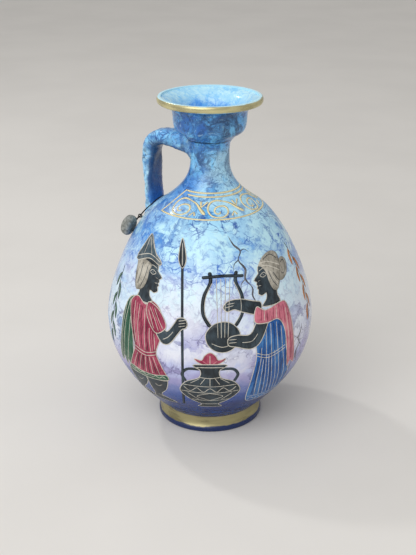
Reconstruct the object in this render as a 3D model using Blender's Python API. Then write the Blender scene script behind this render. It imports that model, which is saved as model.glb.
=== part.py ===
"""A one-handled ceramic jug, thrown in sections and luted together, with a lead seal wired to its handle.

Metres, +Z up. The origin is the middle of the foot's resting ring, and the handle points along -X.
"""

import math

import bmesh
import bpy
from mathutils import Matrix, Vector

# Clearance kept between pieces that touch
JOINT_GAP = 0.0003

# Foot ring
FOOT_RADIUS = 0.0352
FOOT_HEIGHT = 0.0105
FOOT_EDGE_HEIGHT = 0.0032
FOOT_EDGE_UNDERCUT = 0.0014
FOOT_WAIST = 0.0022
FOOT_RING_WIDTH = 0.0085
FOOT_RECESS_DEPTH = 0.005

# Body: rises are measured from the station below
BELLY_RADIUS = 0.0682
BELLY_RISE = 0.0645
SHOULDER_RADIUS = 0.0334
SHOULDER_RISE = 0.0753
BODY_WALL = 0.005
LAP_HEIGHT = 0.004

# Neck
NECK_RADIUS = 0.0124
COVE_RISE = 0.0312
NECK_RISE = 0.009
NECK_WALL = 0.0041
NECK_FLARE = 0.0006
NECK_SEAT_RISE = 0.0088
NECK_SEAT_LEDGE = 0.0052
NECK_SEAT_SLOPE = 0.5
NECK_COLLAR_LENGTH = 0.004
NECK_COLLAR_WALL = 0.0034
NECK_SPIGOT_HEIGHT = 0.003
NECK_SPIGOT_WALL = 0.0021

# Mouth cup and its gilded lip bead
CUP_RADIUS = 0.0234
CUP_RISE = 0.0155
CUP_WALL = 0.0036
LIP_RISE = 0.0103
LIP_OVERHANG = 0.0076
LIP_EDGE = 0.0026
LIP_SEAT_WIDTH = 0.0009
LIP_SEAT_THICKNESS = 0.001
BEAD_HEIGHT = 0.0034
BEAD_WIDTH = 0.002
BEAD_FLAT_SHARE = 0.25

# Leans of the turned outline at its stations, from upright, positive outwards
FOOT_EDGE_LEAN = math.radians(-40)
FOOT_TOP_LEAN = math.radians(-4)
FOOT_LEAN = math.radians(47)
SHOULDER_LEAN = math.radians(-57)
NECK_TOP_LEAN = math.radians(12)
CUP_BASE_LEAN = math.radians(29)
CUP_LEAN = math.radians(1.5)
LIP_LEAN = math.radians(72)

# How far each curve of the outline holds its lean at its two ends, as shares of its chord
FOOT_PULLS = (0.35, 0.45)
LOWER_PULLS = (0.62, 0.19)
UPPER_PULLS = (0.275, 0.215)
COVE_PULLS = (0.62, 0.25)
NECK_PULLS = (0.5, 0.3)
BORE_PULLS = (0.35, 0.45)
CUP_PULLS = (0.54, 0.65)
CUP_FLOOR_LEAN = math.radians(11.5)
CUP_FLOOR_PULLS = (0.45, 0.55)
LIP_PULLS = (0.62, 0.5)
FUNNEL_PULLS = (0.45, 0.4)

# Strap handle, in the plane of the handle
HANDLE_REACH = 0.0436
HANDLE_FOOT_REACH = 0.0424
HANDLE_ARM_DROP = 0.0009
HANDLE_ROOT_DROP = 0.0044
HANDLE_BEND = 0.0122
HANDLE_BITE = 0.004
STRAP_WIDTH = 0.0175
STRAP_THICKNESS = 0.0068
ARM_WIDTH = 0.0148
ARM_THICKNESS = 0.0108
ROOT_WIDTH = 0.0165
ROOT_THICKNESS = 0.0145
HANDLE_FOOT_WIDTH = 0.0185
HANDLE_FOOT_THICKNESS = 0.009
HANDLE_ROOT_LEAN = math.radians(76)
ARM_PULLS = (0.3, 0.35)
BEND_PULLS = (0.42, 0.42)
FALL_PULLS = (0.35, 0.4)
SECTION_SQUARENESS = 0.6
INNER_FLATNESS = 0.12

# Sealing wire and lead seal
WIRE_DIAMETER = 0.0008
LOOP_SLACK = 0.0014
LOOP_SIDE_SLACK = 0.003
SEAL_DIAMETER = 0.0135
SEAL_THICKNESS = 0.0047
SEAL_RIM_THICKNESS = 0.0036
SEAL_DROP = 0.0108
SEAL_SIDE_ANGLE = math.radians(66)
SEAL_TURN = math.radians(4)
SEAL_CLEARANCE = 0.0006
SEAL_START_LIFT = math.radians(60)
SEAL_LIFT_STEP = math.radians(0.5)
TAIL_GRIP = 0.0045
TAIL_TWIST_LENGTH = 0.0052
TAIL_SQUEEZE = 0.92
TAIL_CREASE = math.radians(29)
EYE_LIFT_SPREAD = 4

# Facets
TURNED_SIDES = 44
NECK_SIDES = 32
STRAP_SIDES = 18
STRAP_RINGS = 26
WIRE_SIDES = 8
LOOP_POINTS = 44
EYE_POINTS = 16
TAIL_RINGS = 24
SEAL_SIDES = 28
SMOOTH_ANGLE = math.radians(40)

# How closely a point's coordinates are kept
ROUNDING = 1e-7

# Finishes: colour, roughness, metallic
GILDED_FOOT = ((0.55, 0.42, 0.16), 0.42, 0.6)
GILDED_RIM = ((0.60, 0.46, 0.18), 0.35, 0.7)
BELLY_GLAZE = ((0.62, 0.66, 0.86), 0.25, 0.0)
SHOULDER_GLAZE = ((0.30, 0.55, 0.85), 0.22, 0.0)
NECK_GLAZE = ((0.10, 0.27, 0.60), 0.22, 0.0)
CUP_GLAZE = ((0.16, 0.42, 0.74), 0.22, 0.0)
HANDLE_GLAZE = ((0.12, 0.33, 0.66), 0.25, 0.0)
WIRE_FINISH = ((0.11, 0.11, 0.12), 0.45, 0.8)
LEAD_FINISH = ((0.33, 0.34, 0.34), 0.6, 0.5)

# Stations of the turned outline, from the foot up
WAIST_RADIUS = FOOT_RADIUS - FOOT_WAIST
BELLY_HEIGHT = FOOT_HEIGHT + BELLY_RISE
SHOULDER_HEIGHT = BELLY_HEIGHT + SHOULDER_RISE
NECK_HEIGHT = SHOULDER_HEIGHT + COVE_RISE
CUP_JOINT_HEIGHT = NECK_HEIGHT + NECK_RISE
CUP_HEIGHT = CUP_JOINT_HEIGHT + CUP_RISE
SEAT_HEIGHT = CUP_HEIGHT + LIP_RISE
JUG_HEIGHT = SEAT_HEIGHT + JOINT_GAP + BEAD_HEIGHT
NECK_TOP_RADIUS = NECK_RADIUS + NECK_FLARE
NECK_BORE = NECK_RADIUS - NECK_WALL
LIP_RADIUS = CUP_RADIUS + LIP_OVERHANG
NECK_SEAT_HEIGHT = SHOULDER_HEIGHT + NECK_SEAT_RISE
TAIL_HALF_WIDTH = WIRE_DIAMETER * TAIL_SQUEEZE

# The strap's width and thickness at shares of its length, from the neck to the shoulder
HANDLE_STATIONS = (
    (0.0, ROOT_WIDTH, ROOT_THICKNESS),
    (0.2, ARM_WIDTH, ARM_THICKNESS),
    (0.45, ARM_WIDTH, ARM_THICKNESS),
    (0.66, STRAP_WIDTH, STRAP_THICKNESS),
    (0.84, STRAP_WIDTH, STRAP_THICKNESS),
    (1.0, HANDLE_FOOT_WIDTH, HANDLE_FOOT_THICKNESS),
)


def clear_scene():
    for obj in list(bpy.data.objects):
        bpy.data.objects.remove(obj, do_unlink=True)


# Outline curves

def heading(lean):
    return Vector((math.sin(lean), math.cos(lean)))


def curve(start, start_lean, end, end_lean, pulls, pieces):
    """Points (radius, height) on a cubic curve between two points, with its lean given at each."""
    start, end = Vector(start), Vector(end)
    chord = (end - start).length
    first = start + heading(start_lean) * chord * pulls[0]
    second = end - heading(end_lean) * chord * pulls[1]
    points = []
    for step in range(pieces + 1):
        t = step / pieces
        points.append(
            start * (1 - t) ** 3
            + first * 3 * t * (1 - t) ** 2
            + second * 3 * t * t * (1 - t)
            + end * t**3
        )
    return points


def offset(points, distance):
    """The outline moved outwards by a distance, square to itself; it runs upwards."""
    moved = []
    for index, point in enumerate(points):
        before = points[max(index - 1, 0)]
        after = points[min(index + 1, len(points) - 1)]
        along = (after - before).normalized()
        moved.append(point + Vector((along.y, -along.x)) * distance)
    return moved


def between(points, low, high):
    """The stretch of an upward outline between two heights, with its ends cut there."""
    inside = [point for point in points if low < point.y < high]
    return [at_height(points, low), *inside, at_height(points, high)]


def at_height(points, height):
    for lower, upper in zip(points, points[1:]):
        if lower.y - ROUNDING <= height <= upper.y + ROUNDING:
            share = (height - lower.y) / (upper.y - lower.y)
            return lower.lerp(upper, share)
    raise ValueError(f"the outline doesn't reach height {height:.4f}")


def at_radius(points, radius):
    for lower, upper in zip(points, points[1:]):
        if upper.x - ROUNDING <= radius <= lower.x + ROUNDING:
            share = (lower.x - radius) / (lower.x - upper.x)
            return lower.lerp(upper, share)
    raise ValueError(f"the outline doesn't reach radius {radius:.4f}")


def arc(centre, radius, start, end, pieces):
    """Points on a circle from one angle to another, counted from +radius towards +height."""
    return [
        Vector(
            (
                centre[0] + radius * math.cos(start + (end - start) * step / pieces),
                centre[1] + radius * math.sin(start + (end - start) * step / pieces),
            )
        )
        for step in range(pieces + 1)
    ]


FOOT_TOP = (WAIST_RADIUS, FOOT_HEIGHT)
BELLY = (BELLY_RADIUS, BELLY_HEIGHT)
SHOULDER = (SHOULDER_RADIUS, SHOULDER_HEIGHT)
NECK = (NECK_RADIUS, NECK_HEIGHT)
CUP_JOINT = (NECK_TOP_RADIUS, CUP_JOINT_HEIGHT)
CUP = (CUP_RADIUS, CUP_HEIGHT)
LIP_UNDERSIDE = (LIP_RADIUS + LIP_SEAT_WIDTH, SEAT_HEIGHT - LIP_SEAT_THICKNESS)
LOWER_OUTLINE = curve(FOOT_TOP, FOOT_LEAN, BELLY, 0, LOWER_PULLS, 10)
UPPER_OUTLINE = curve(BELLY, 0, SHOULDER, SHOULDER_LEAN, UPPER_PULLS, 13)
COVE_OUTLINE = curve(SHOULDER, SHOULDER_LEAN, NECK, 0, COVE_PULLS, 10)
NECK_OUTLINE = curve(NECK, 0, CUP_JOINT, NECK_TOP_LEAN, NECK_PULLS, 3)
CUP_OUTLINE = curve(CUP_JOINT, CUP_BASE_LEAN, CUP, CUP_LEAN, CUP_PULLS, 9)
LIP_OUTLINE = curve(CUP, CUP_LEAN, LIP_UNDERSIDE, LIP_LEAN, LIP_PULLS, 7)
SHOULDER_OUTLINE = UPPER_OUTLINE + COVE_OUTLINE[1:]
OUTER_OUTLINE = (
    LOWER_OUTLINE + SHOULDER_OUTLINE[1:] + NECK_OUTLINE[1:] + CUP_OUTLINE[1:] + LIP_OUTLINE[1:]
)


# Meshes and objects

def finish(name, mesh, look, parent):
    """Links the mesh as a named sub-part with its own material, shaded smooth on its round faces."""
    colour, roughness, metallic = look
    material = bpy.data.materials.new(f"{name}_finish")
    material.use_nodes = True
    shader = material.node_tree.nodes["Principled BSDF"]
    shader.inputs["Base Color"].default_value = (*colour, 1)
    shader.inputs["Roughness"].default_value = roughness
    shader.inputs["Metallic"].default_value = metallic
    mesh.materials.append(material)
    mesh.shade_smooth()
    mesh.set_sharp_from_angle(angle=SMOOTH_ANGLE)
    obj = bpy.data.objects.new(name, mesh)
    bpy.context.scene.collection.objects.link(obj)
    obj.parent = parent
    obj.matrix_parent_inverse = parent.matrix_world.inverted()
    return obj


def to_mesh(name, work):
    bmesh.ops.recalc_face_normals(work, faces=work.faces)
    mesh = bpy.data.meshes.new(name)
    work.to_mesh(mesh)
    work.free()
    return mesh


def turned(name, outline, sides):
    """A mesh turned about Z from an outline of (radius, height) points.

    An outline that starts and ends on the axis closes there; any other is closed back to its start.
    """
    work = bmesh.new()
    points = [work.verts.new((point[0], 0, point[1])) for point in outline]
    chain = list(zip(points, points[1:]))
    if outline[0][0] > 0:
        chain.append((points[-1], points[0]))
    edges = [work.edges.new(pair) for pair in chain]
    bmesh.ops.spin(
        work,
        geom=points + edges,
        cent=(0, 0, 0),
        axis=(0, 0, 1),
        angle=math.tau,
        steps=sides,
        use_merge=True,
        use_duplicate=False,
    )
    bmesh.ops.remove_doubles(work, verts=work.verts, dist=1e-6)
    bmesh.ops.dissolve_degenerate(work, edges=work.edges, dist=1e-6)
    return to_mesh(name, work)


def lofted(name, rings, closed=False):
    """A mesh through rings of points; an open one gets flat ends."""
    work = bmesh.new()
    loops = [[work.verts.new(point) for point in ring] for ring in rings]
    pairs = list(zip(loops, loops[1:]))
    if closed:
        pairs.append((loops[-1], loops[0]))
    for near, far in pairs:
        for index in range(len(near)):
            after = (index + 1) % len(near)
            work.faces.new((near[index], near[after], far[after], far[index]))
    if not closed:
        work.faces.new(list(reversed(loops[0])))
        work.faces.new(loops[-1])
    return to_mesh(name, work)


def helper(name, mesh):
    """A cutter or a piece to be joined, left out of the object itself."""
    obj = bpy.data.objects.new(name, mesh)
    bpy.context.scene.collection.objects.link(obj)
    obj.hide_render = True
    obj.display_type = "WIRE"
    return obj


def boolean(obj, other, operation):
    step = obj.modifiers.new(other.name, "BOOLEAN")
    step.operation = operation
    step.object = other
    step.solver = "EXACT"


def section_ring(centre, across, up, points):
    """Places a flat section, given as (across, up) pairs, in space."""
    return [centre + across * point[0] + up * point[1] for point in points]


def round_section(radius, sides):
    return [
        (radius * math.cos(math.tau * side / sides), radius * math.sin(math.tau * side / sides))
        for side in range(sides)
    ]


# Turned pieces

def foot_ring(parent):
    inner = FOOT_RADIUS - FOOT_RING_WIDTH
    edge_round = FOOT_EDGE_UNDERCUT
    edge_top = (FOOT_RADIUS, FOOT_EDGE_HEIGHT)
    outline = [
        (inner, FOOT_HEIGHT),
        (inner, edge_round / 2),
        (inner + edge_round / 2, 0),
        *arc((FOOT_RADIUS - edge_round, edge_round), edge_round, -math.pi / 2, 0, 3),
        *curve(edge_top, FOOT_EDGE_LEAN, FOOT_TOP, FOOT_TOP_LEAN, FOOT_PULLS, 5),
    ]
    mesh = turned("foot_ring", outline, TURNED_SIDES)
    return finish("foot_ring", mesh, GILDED_FOOT, parent)


def lower_body(parent):
    """The thrown bowl: it registers in the foot ring and ends at the belly in a lapped tongue."""
    boss = FOOT_RADIUS - FOOT_RING_WIDTH - JOINT_GAP
    tongue_outer = BELLY_RADIUS - (BODY_WALL + JOINT_GAP) / 2
    tongue_top = BELLY_HEIGHT + LAP_HEIGHT
    base = FOOT_HEIGHT + JOINT_GAP
    floor = FOOT_RECESS_DEPTH + BODY_WALL
    inside = offset(LOWER_OUTLINE[::2], -BODY_WALL)
    well = boss - BODY_WALL / 2
    outline = [
        (0, FOOT_RECESS_DEPTH),
        (boss, FOOT_RECESS_DEPTH),
        (boss, base),
        *between(LOWER_OUTLINE, base, BELLY_HEIGHT),
        (tongue_outer, BELLY_HEIGHT),
        (tongue_outer, tongue_top),
        (inside[-1].x, tongue_top),
        *reversed(inside),
        (well, floor),
        (0, floor),
    ]
    mesh = turned("lower_body", outline, TURNED_SIDES)
    return finish("lower_body", mesh, BELLY_GLAZE, parent)


def upper_body(parent):
    """The shoulder half: it drops over the bowl's tongue, and its top ring carries the neck."""
    rebate = BELLY_RADIUS - (BODY_WALL - JOINT_GAP) / 2
    ledge = BELLY_HEIGHT + LAP_HEIGHT + JOINT_GAP
    outside = between(SHOULDER_OUTLINE, BELLY_HEIGHT + JOINT_GAP, NECK_SEAT_HEIGHT)
    hole = outside[-1].x - NECK_SEAT_LEDGE
    inside = [
        point
        for point in offset(outside[::2], -BODY_WALL)
        if point.y > ledge and point.x > hole
    ]
    under = inside[-1].y + (inside[-1].x - hole) * NECK_SEAT_SLOPE
    outline = [
        (rebate, outside[0].y),
        *outside,
        (hole, NECK_SEAT_HEIGHT),
        (hole, under),
        *reversed(inside),
        (BELLY_RADIUS - BODY_WALL, ledge),
        (rebate, ledge),
    ]
    mesh = turned("upper_body", outline, TURNED_SIDES)
    return finish("upper_body", mesh, SHOULDER_GLAZE, parent)


def neck(parent):
    """The neck: a collar drops into the shoulder's hole, and a spigot rises into the mouth cup."""
    seat = NECK_SEAT_HEIGHT + JOINT_GAP
    outside = between(COVE_OUTLINE + NECK_OUTLINE[1:], seat, CUP_JOINT_HEIGHT)
    collar = at_height(COVE_OUTLINE, NECK_SEAT_HEIGHT).x - NECK_SEAT_LEDGE - JOINT_GAP
    throat = collar - NECK_COLLAR_WALL
    bottom = NECK_SEAT_HEIGHT - NECK_COLLAR_LENGTH
    spigot = NECK_BORE + NECK_SPIGOT_WALL
    spigot_top = CUP_JOINT_HEIGHT + NECK_SPIGOT_HEIGHT
    bore = curve((throat, bottom), 0, (NECK_BORE, NECK_HEIGHT), 0, BORE_PULLS, 5)
    outline = [
        (collar, bottom),
        (collar, seat),
        *outside,
        (spigot, CUP_JOINT_HEIGHT),
        (spigot, spigot_top),
        (NECK_BORE, spigot_top),
        *reversed(bore),
    ]
    mesh = turned("neck", outline, NECK_SIDES)
    return finish("neck", mesh, NECK_GLAZE, parent)


def mouth_cup(parent):
    """The flared cup: its socket sits on the neck's spigot, and its lip has a seat for the bead."""
    base = CUP_JOINT_HEIGHT + JOINT_GAP
    socket = NECK_BORE + NECK_SPIGOT_WALL + JOINT_GAP
    socket_top = CUP_JOINT_HEIGHT + NECK_SPIGOT_HEIGHT + JOINT_GAP
    inner = CUP_RADIUS - CUP_WALL
    lip_top = SEAT_HEIGHT + LIP_EDGE
    waist = (inner, CUP_HEIGHT)
    funnel = curve(waist, CUP_LEAN, (LIP_RADIUS - LIP_EDGE / 4, lip_top), LIP_LEAN, FUNNEL_PULLS, 6)
    floor = curve((NECK_BORE, socket_top), CUP_FLOOR_LEAN, waist, CUP_LEAN, CUP_FLOOR_PULLS, 6)
    outline = [
        (socket, base),
        *between(CUP_OUTLINE, base, CUP_HEIGHT),
        *LIP_OUTLINE[1:],
        (LIP_RADIUS + LIP_SEAT_WIDTH, SEAT_HEIGHT),
        (LIP_RADIUS, SEAT_HEIGHT),
        (LIP_RADIUS, lip_top),
        *reversed(funnel),
        *reversed(floor[:-1]),
        (socket, socket_top),
    ]
    mesh = turned("mouth_cup", outline, TURNED_SIDES)
    return finish("mouth_cup", mesh, CUP_GLAZE, parent)


def rim_bead(parent):
    """The gilded roll round the lip: a flat inner side and a round outer one."""
    inner = LIP_RADIUS + JOINT_GAP
    low = SEAT_HEIGHT + JOINT_GAP
    half = BEAD_HEIGHT / 2
    outline = [(inner, low)]
    for point in arc((0, 0), 1, -math.pi / 2, math.pi / 2, 8):
        reach = BEAD_FLAT_SHARE + (1 - BEAD_FLAT_SHARE) * point.x
        outline.append((inner + BEAD_WIDTH * reach, low + half * (1 + point.y)))
    outline.append((inner, JUG_HEIGHT))
    mesh = turned("rim_bead", outline, TURNED_SIDES)
    return finish("rim_bead", mesh, GILDED_RIM, parent)


# Handle

def squared(share):
    """A round section's share of its half width, filled out towards a square section."""
    return math.copysign(abs(share) ** SECTION_SQUARENESS, share)


def strap_section(width, thickness):
    """A strap's section: flat towards the jug, crowned outside, as (across, outwards) pairs."""
    points = []
    for side in range(STRAP_SIDES):
        angle = math.tau * side / STRAP_SIDES
        across, rise = squared(math.cos(angle)), squared(math.sin(angle))
        if rise < 0:
            rise *= 1 - INNER_FLATNESS * (1 - across * across)
        points.append((across * width / 2, rise * thickness / 2))
    return points


def handle_line():
    """The handle's centre line as (reach, height) points, from inside the neck to inside the shoulder."""
    root = Vector((NECK_RADIUS - HANDLE_BITE, CUP_JOINT_HEIGHT - HANDLE_ROOT_DROP))
    arm_height = CUP_JOINT_HEIGHT - HANDLE_ARM_DROP
    arm_end = Vector((HANDLE_REACH - HANDLE_BEND, arm_height))
    drop = Vector((HANDLE_REACH, arm_height - HANDLE_BEND))
    landing = at_radius(SHOULDER_OUTLINE, HANDLE_FOOT_REACH + HANDLE_FOOT_THICKNESS / 2)
    foot = Vector((HANDLE_FOOT_REACH, landing.y - HANDLE_BITE))
    level, down = math.pi / 2, math.pi
    arm = curve(root, HANDLE_ROOT_LEAN, arm_end, level, ARM_PULLS, 20)
    bend = curve(arm_end, level, drop, down, BEND_PULLS, 20)
    fall = curve(drop, down, foot, down, FALL_PULLS, 30)
    return arm + bend[1:] + fall[1:]


def handle_sizes(share):
    """The strap's width and thickness at a share of its length."""
    for near, far in zip(HANDLE_STATIONS, HANDLE_STATIONS[1:]):
        if share <= far[0]:
            blend = (share - near[0]) / (far[0] - near[0])
            blend = blend * blend * (3 - 2 * blend)
            return [a + (b - a) * blend for a, b in zip(near[1:], far[1:])]
    return HANDLE_STATIONS[-1][1:]


def handle(parent, body_cutter):
    line = handle_line()
    lengths = [0.0]
    for near, far in zip(line, line[1:]):
        lengths.append(lengths[-1] + (far - near).length)
    rings = []
    for ring in range(STRAP_RINGS + 1):
        share = ring / STRAP_RINGS
        target = share * lengths[-1]
        index = max(i for i in range(len(line) - 1) if lengths[i] <= target + 1e-9)
        step = (target - lengths[index]) / (lengths[index + 1] - lengths[index])
        centre = line[index].lerp(line[index + 1], step)
        along = (line[min(index + 2, len(line) - 1)] - line[max(index - 1, 0)]).normalized()
        outwards = Vector((along.y, 0, along.x))
        place = Vector((-centre.x, 0, centre.y))
        rings.append(
            section_ring(place, Vector((0, 1, 0)), outwards, strap_section(*handle_sizes(share)))
        )
    obj = finish("handle", lofted("handle", rings), HANDLE_GLAZE, parent)
    boolean(obj, body_cutter, "DIFFERENCE")
    return obj


# Sealing wire and lead seal

def slope_at(radius):
    """The shoulder in the handle's plane: a point on it, the way down it and the way out of it."""
    above = at_radius(SHOULDER_OUTLINE, radius - HANDLE_FOOT_THICKNESS / 2)
    below = at_radius(SHOULDER_OUTLINE, radius + HANDLE_FOOT_THICKNESS / 2)
    down = (below - above).normalized()
    point = at_radius(SHOULDER_OUTLINE, radius)
    return (
        Vector((-point.x, 0, point.y)),
        Vector((-down.x, 0, down.y)),
        Vector((down.y, 0, down.x)),
    )


def nearest_on_shoulder(place):
    """The point of the shoulder nearest to a place, and the way out of the surface there."""
    flat = Vector((math.hypot(place.x, place.y), place.z))
    best = None
    for lower, upper in zip(SHOULDER_OUTLINE, SHOULDER_OUTLINE[1:]):
        along = upper - lower
        share = min(max((flat - lower).dot(along) / along.length_squared, 0), 1)
        point = lower + along * share
        if best is None or (flat - point).length < (flat - best[0]).length:
            best = (point, Vector((along.y, -along.x)).normalized())
    point, out = best
    radial = Vector((place.x, place.y, 0)).normalized()
    return radial * point.x + Vector((0, 0, point.y)), radial * out.x + Vector((0, 0, out.y))


class SealPlan:
    """Where the loop lies on the shoulder round the handle's foot, and where the seal hangs from it."""

    def __init__(self):
        foot, self.down, self.out = slope_at(HANDLE_FOOT_REACH)
        self.side = Vector((0, -1, 0))
        self.wire_rise = JOINT_GAP + WIRE_DIAMETER / 2
        self.eye_radius = WIRE_DIAMETER + JOINT_GAP
        strap_half = HANDLE_FOOT_THICKNESS / 2 / -self.down.x
        self.centre = foot + (self.down * LOOP_SLACK + self.side * LOOP_SIDE_SLACK) / 2
        self.half_length = strap_half + self.wire_rise + LOOP_SLACK / 2
        self.half_width = HANDLE_FOOT_WIDTH / 2 + self.wire_rise + LOOP_SIDE_SLACK / 2
        slant = math.tan(SEAL_SIDE_ANGLE) * self.half_width / self.half_length
        self.eye_angle = math.atan(slant ** (1 / (2 - SECTION_SQUARENESS)))
        self.hang_seal()

    def on_loop(self, angle):
        """A point of the loop: it lies on the shoulder, and lifts where the seal's eye goes round it."""
        flat = (
            self.centre
            + self.down * self.half_length * squared(math.cos(angle))
            + self.side * self.half_width * squared(math.sin(angle))
        )
        touch, out = nearest_on_shoulder(flat)
        near_eye = max(math.cos(angle - self.eye_angle), 0) ** EYE_LIFT_SPREAD
        return touch + out * (self.wire_rise + self.eye_radius * near_eye)

    def hang_seal(self):
        """The seal swings in on its eye, turned a little on its wire, until it meets the shoulder."""
        self.eye = self.on_loop(self.eye_angle)
        step = math.pi / LOOP_POINTS
        along = self.on_loop(self.eye_angle - step) - self.on_loop(self.eye_angle + step)
        self.axis = along.normalized()
        out = nearest_on_shoulder(self.eye)[1]
        hang = out.cross(self.axis).normalized()
        lift = SEAL_START_LIFT
        self.place_seal(hang, lift)
        while self.back_clearance() > SEAL_CLEARANCE:
            lift -= SEAL_LIFT_STEP
            self.place_seal(hang, lift)

    def place_seal(self, hang, lift):
        upwards = self.axis.cross(hang)
        self.tail = hang * math.cos(lift) + upwards * math.sin(lift)
        self.upright = self.axis.cross(self.tail)
        self.across = self.tail.cross(self.upright)
        self.seal_axis = self.upright * math.cos(SEAL_TURN) + self.across * math.sin(SEAL_TURN)
        self.seal_centre = self.eye + self.tail * SEAL_DROP

    def back_clearance(self):
        """The least height of the seal's back, at its middle and round its rim, over the shoulder."""
        side = self.tail.cross(self.seal_axis)
        rim = self.seal_centre - self.seal_axis * SEAL_RIM_THICKNESS / 2
        places = [self.seal_centre - self.seal_axis * SEAL_THICKNESS / 2]
        for point in round_section(SEAL_DIAMETER / 2, SEAL_SIDES):
            places.append(rim + self.tail * point[0] + side * point[1])
        heights = []
        for place in places:
            touch, out = nearest_on_shoulder(place)
            heights.append((place - touch).dot(out))
        return min(heights)


def wire_ring(path, flat_out):
    """A closed ring of wire along a path of points that lies square to a direction, or nearly so."""
    rings = []
    section = round_section(WIRE_DIAMETER / 2, WIRE_SIDES)
    for index, point in enumerate(path):
        along = (path[(index + 1) % len(path)] - path[index - 1]).normalized()
        across = along.cross(flat_out).normalized()
        rings.append(section_ring(point, across, across.cross(along), section))
    return rings


def seal_wire_loop(parent, plan):
    path = [plan.on_loop(math.tau * step / LOOP_POINTS) for step in range(LOOP_POINTS)]
    mesh = lofted("seal_wire_loop", wire_ring(path, plan.out), closed=True)
    return finish("seal_wire_loop", mesh, WIRE_FINISH, parent)


def twisted_pair():
    """The section of two wires laid side by side, as one outline."""
    radius = WIRE_DIAMETER / 2
    quarter = math.pi / 2
    right = arc((TAIL_HALF_WIDTH - radius, 0), radius, TAIL_CREASE - quarter, quarter - TAIL_CREASE, 4)
    return right + [-point for point in right]


def seal_wire_tail(parent, plan):
    """An eye round the loop's wire, and the two twisted ends that run into the seal."""
    start = plan.eye + plan.tail * plan.eye_radius
    end = plan.seal_centre - plan.tail * (SEAL_DIAMETER / 2 - TAIL_GRIP)
    length = (end - start).length
    rings = []
    for ring in range(TAIL_RINGS + 1):
        share = ring / TAIL_RINGS
        turn = math.pi / 2 + math.tau * share * length / TAIL_TWIST_LENGTH
        wide = plan.across * math.cos(turn) + plan.upright * math.sin(turn)
        thin = plan.tail.cross(wide)
        rings.append(section_ring(start.lerp(end, share), wide, thin, twisted_pair()))
    obj = finish("seal_wire_tail", lofted("seal_wire_tail", rings), WIRE_FINISH, parent)
    eye = []
    for step in range(EYE_POINTS):
        angle = math.tau * step / EYE_POINTS
        spoke = plan.tail * math.cos(angle) + plan.upright * math.sin(angle)
        eye.append(plan.eye + spoke * plan.eye_radius)
    ring_mesh = lofted("seal_wire_eye", wire_ring(eye, plan.across), closed=True)
    boolean(obj, helper("seal_wire_eye", ring_mesh), "UNION")
    return obj


def lead_seal(parent, plan):
    """A squeezed lead slug, thick in the middle, with a bore for the twisted wire."""
    half, rim, radius = SEAL_THICKNESS / 2, SEAL_RIM_THICKNESS / 2, SEAL_DIAMETER / 2
    under = [
        (radius * point.x, point.y * (half - rim) - rim)
        for point in arc((0, 0), 1, -math.pi / 2, 0, 5)
    ]
    outline = under + [(point[0], -point[1]) for point in reversed(under)]
    mesh = turned("lead_seal", outline, SEAL_SIDES)
    across = plan.tail.cross(plan.seal_axis)
    frame = Matrix((across, plan.tail, plan.seal_axis)).transposed().to_4x4()
    frame.translation = plan.seal_centre
    mesh.transform(frame)
    obj = finish("lead_seal", mesh, LEAD_FINISH, parent)
    section = round_section(TAIL_HALF_WIDTH + JOINT_GAP, WIRE_SIDES * 2)
    rings = [
        section_ring(plan.seal_centre + plan.tail * reach, plan.across, plan.upright, section)
        for reach in (-SEAL_DIAMETER, SEAL_DIAMETER)
    ]
    boolean(obj, helper("seal_bore", lofted("seal_bore", rings)), "DIFFERENCE")
    return obj


def main():
    clear_scene()
    jug = bpy.data.objects.new("jug", None)
    bpy.context.scene.collection.objects.link(jug)
    bpy.context.view_layer.update()
    grown = offset(OUTER_OUTLINE, JOINT_GAP)
    cutter = [(0, grown[0].y), *grown, (0, grown[-1].y)]
    body_cutter = helper("body_cutter", turned("body_cutter", cutter, TURNED_SIDES))
    foot_ring(jug)
    lower_body(jug)
    upper_body(jug)
    neck(jug)
    mouth_cup(jug)
    rim_bead(jug)
    handle(jug, body_cutter)
    plan = SealPlan()
    seal_wire_loop(jug, plan)
    swing = bpy.data.objects.new("seal_swing", None)
    bpy.context.scene.collection.objects.link(swing)
    swing.location = plan.eye
    swing.rotation_mode = "QUATERNION"
    swing.rotation_quaternion = plan.axis.to_track_quat("Z", "Y")
    bpy.context.view_layer.update()
    seal_wire_tail(swing, plan)
    lead_seal(swing, plan)


main()
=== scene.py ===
"""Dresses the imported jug: marbled glaze, gilding, painted figures and a lead seal, on a pale floor."""

import bisect
import math

import bmesh
import bpy
from bpy.props import FloatProperty, FloatVectorProperty, PointerProperty
from mathutils import Euler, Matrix, Vector, geometry, noise


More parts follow.
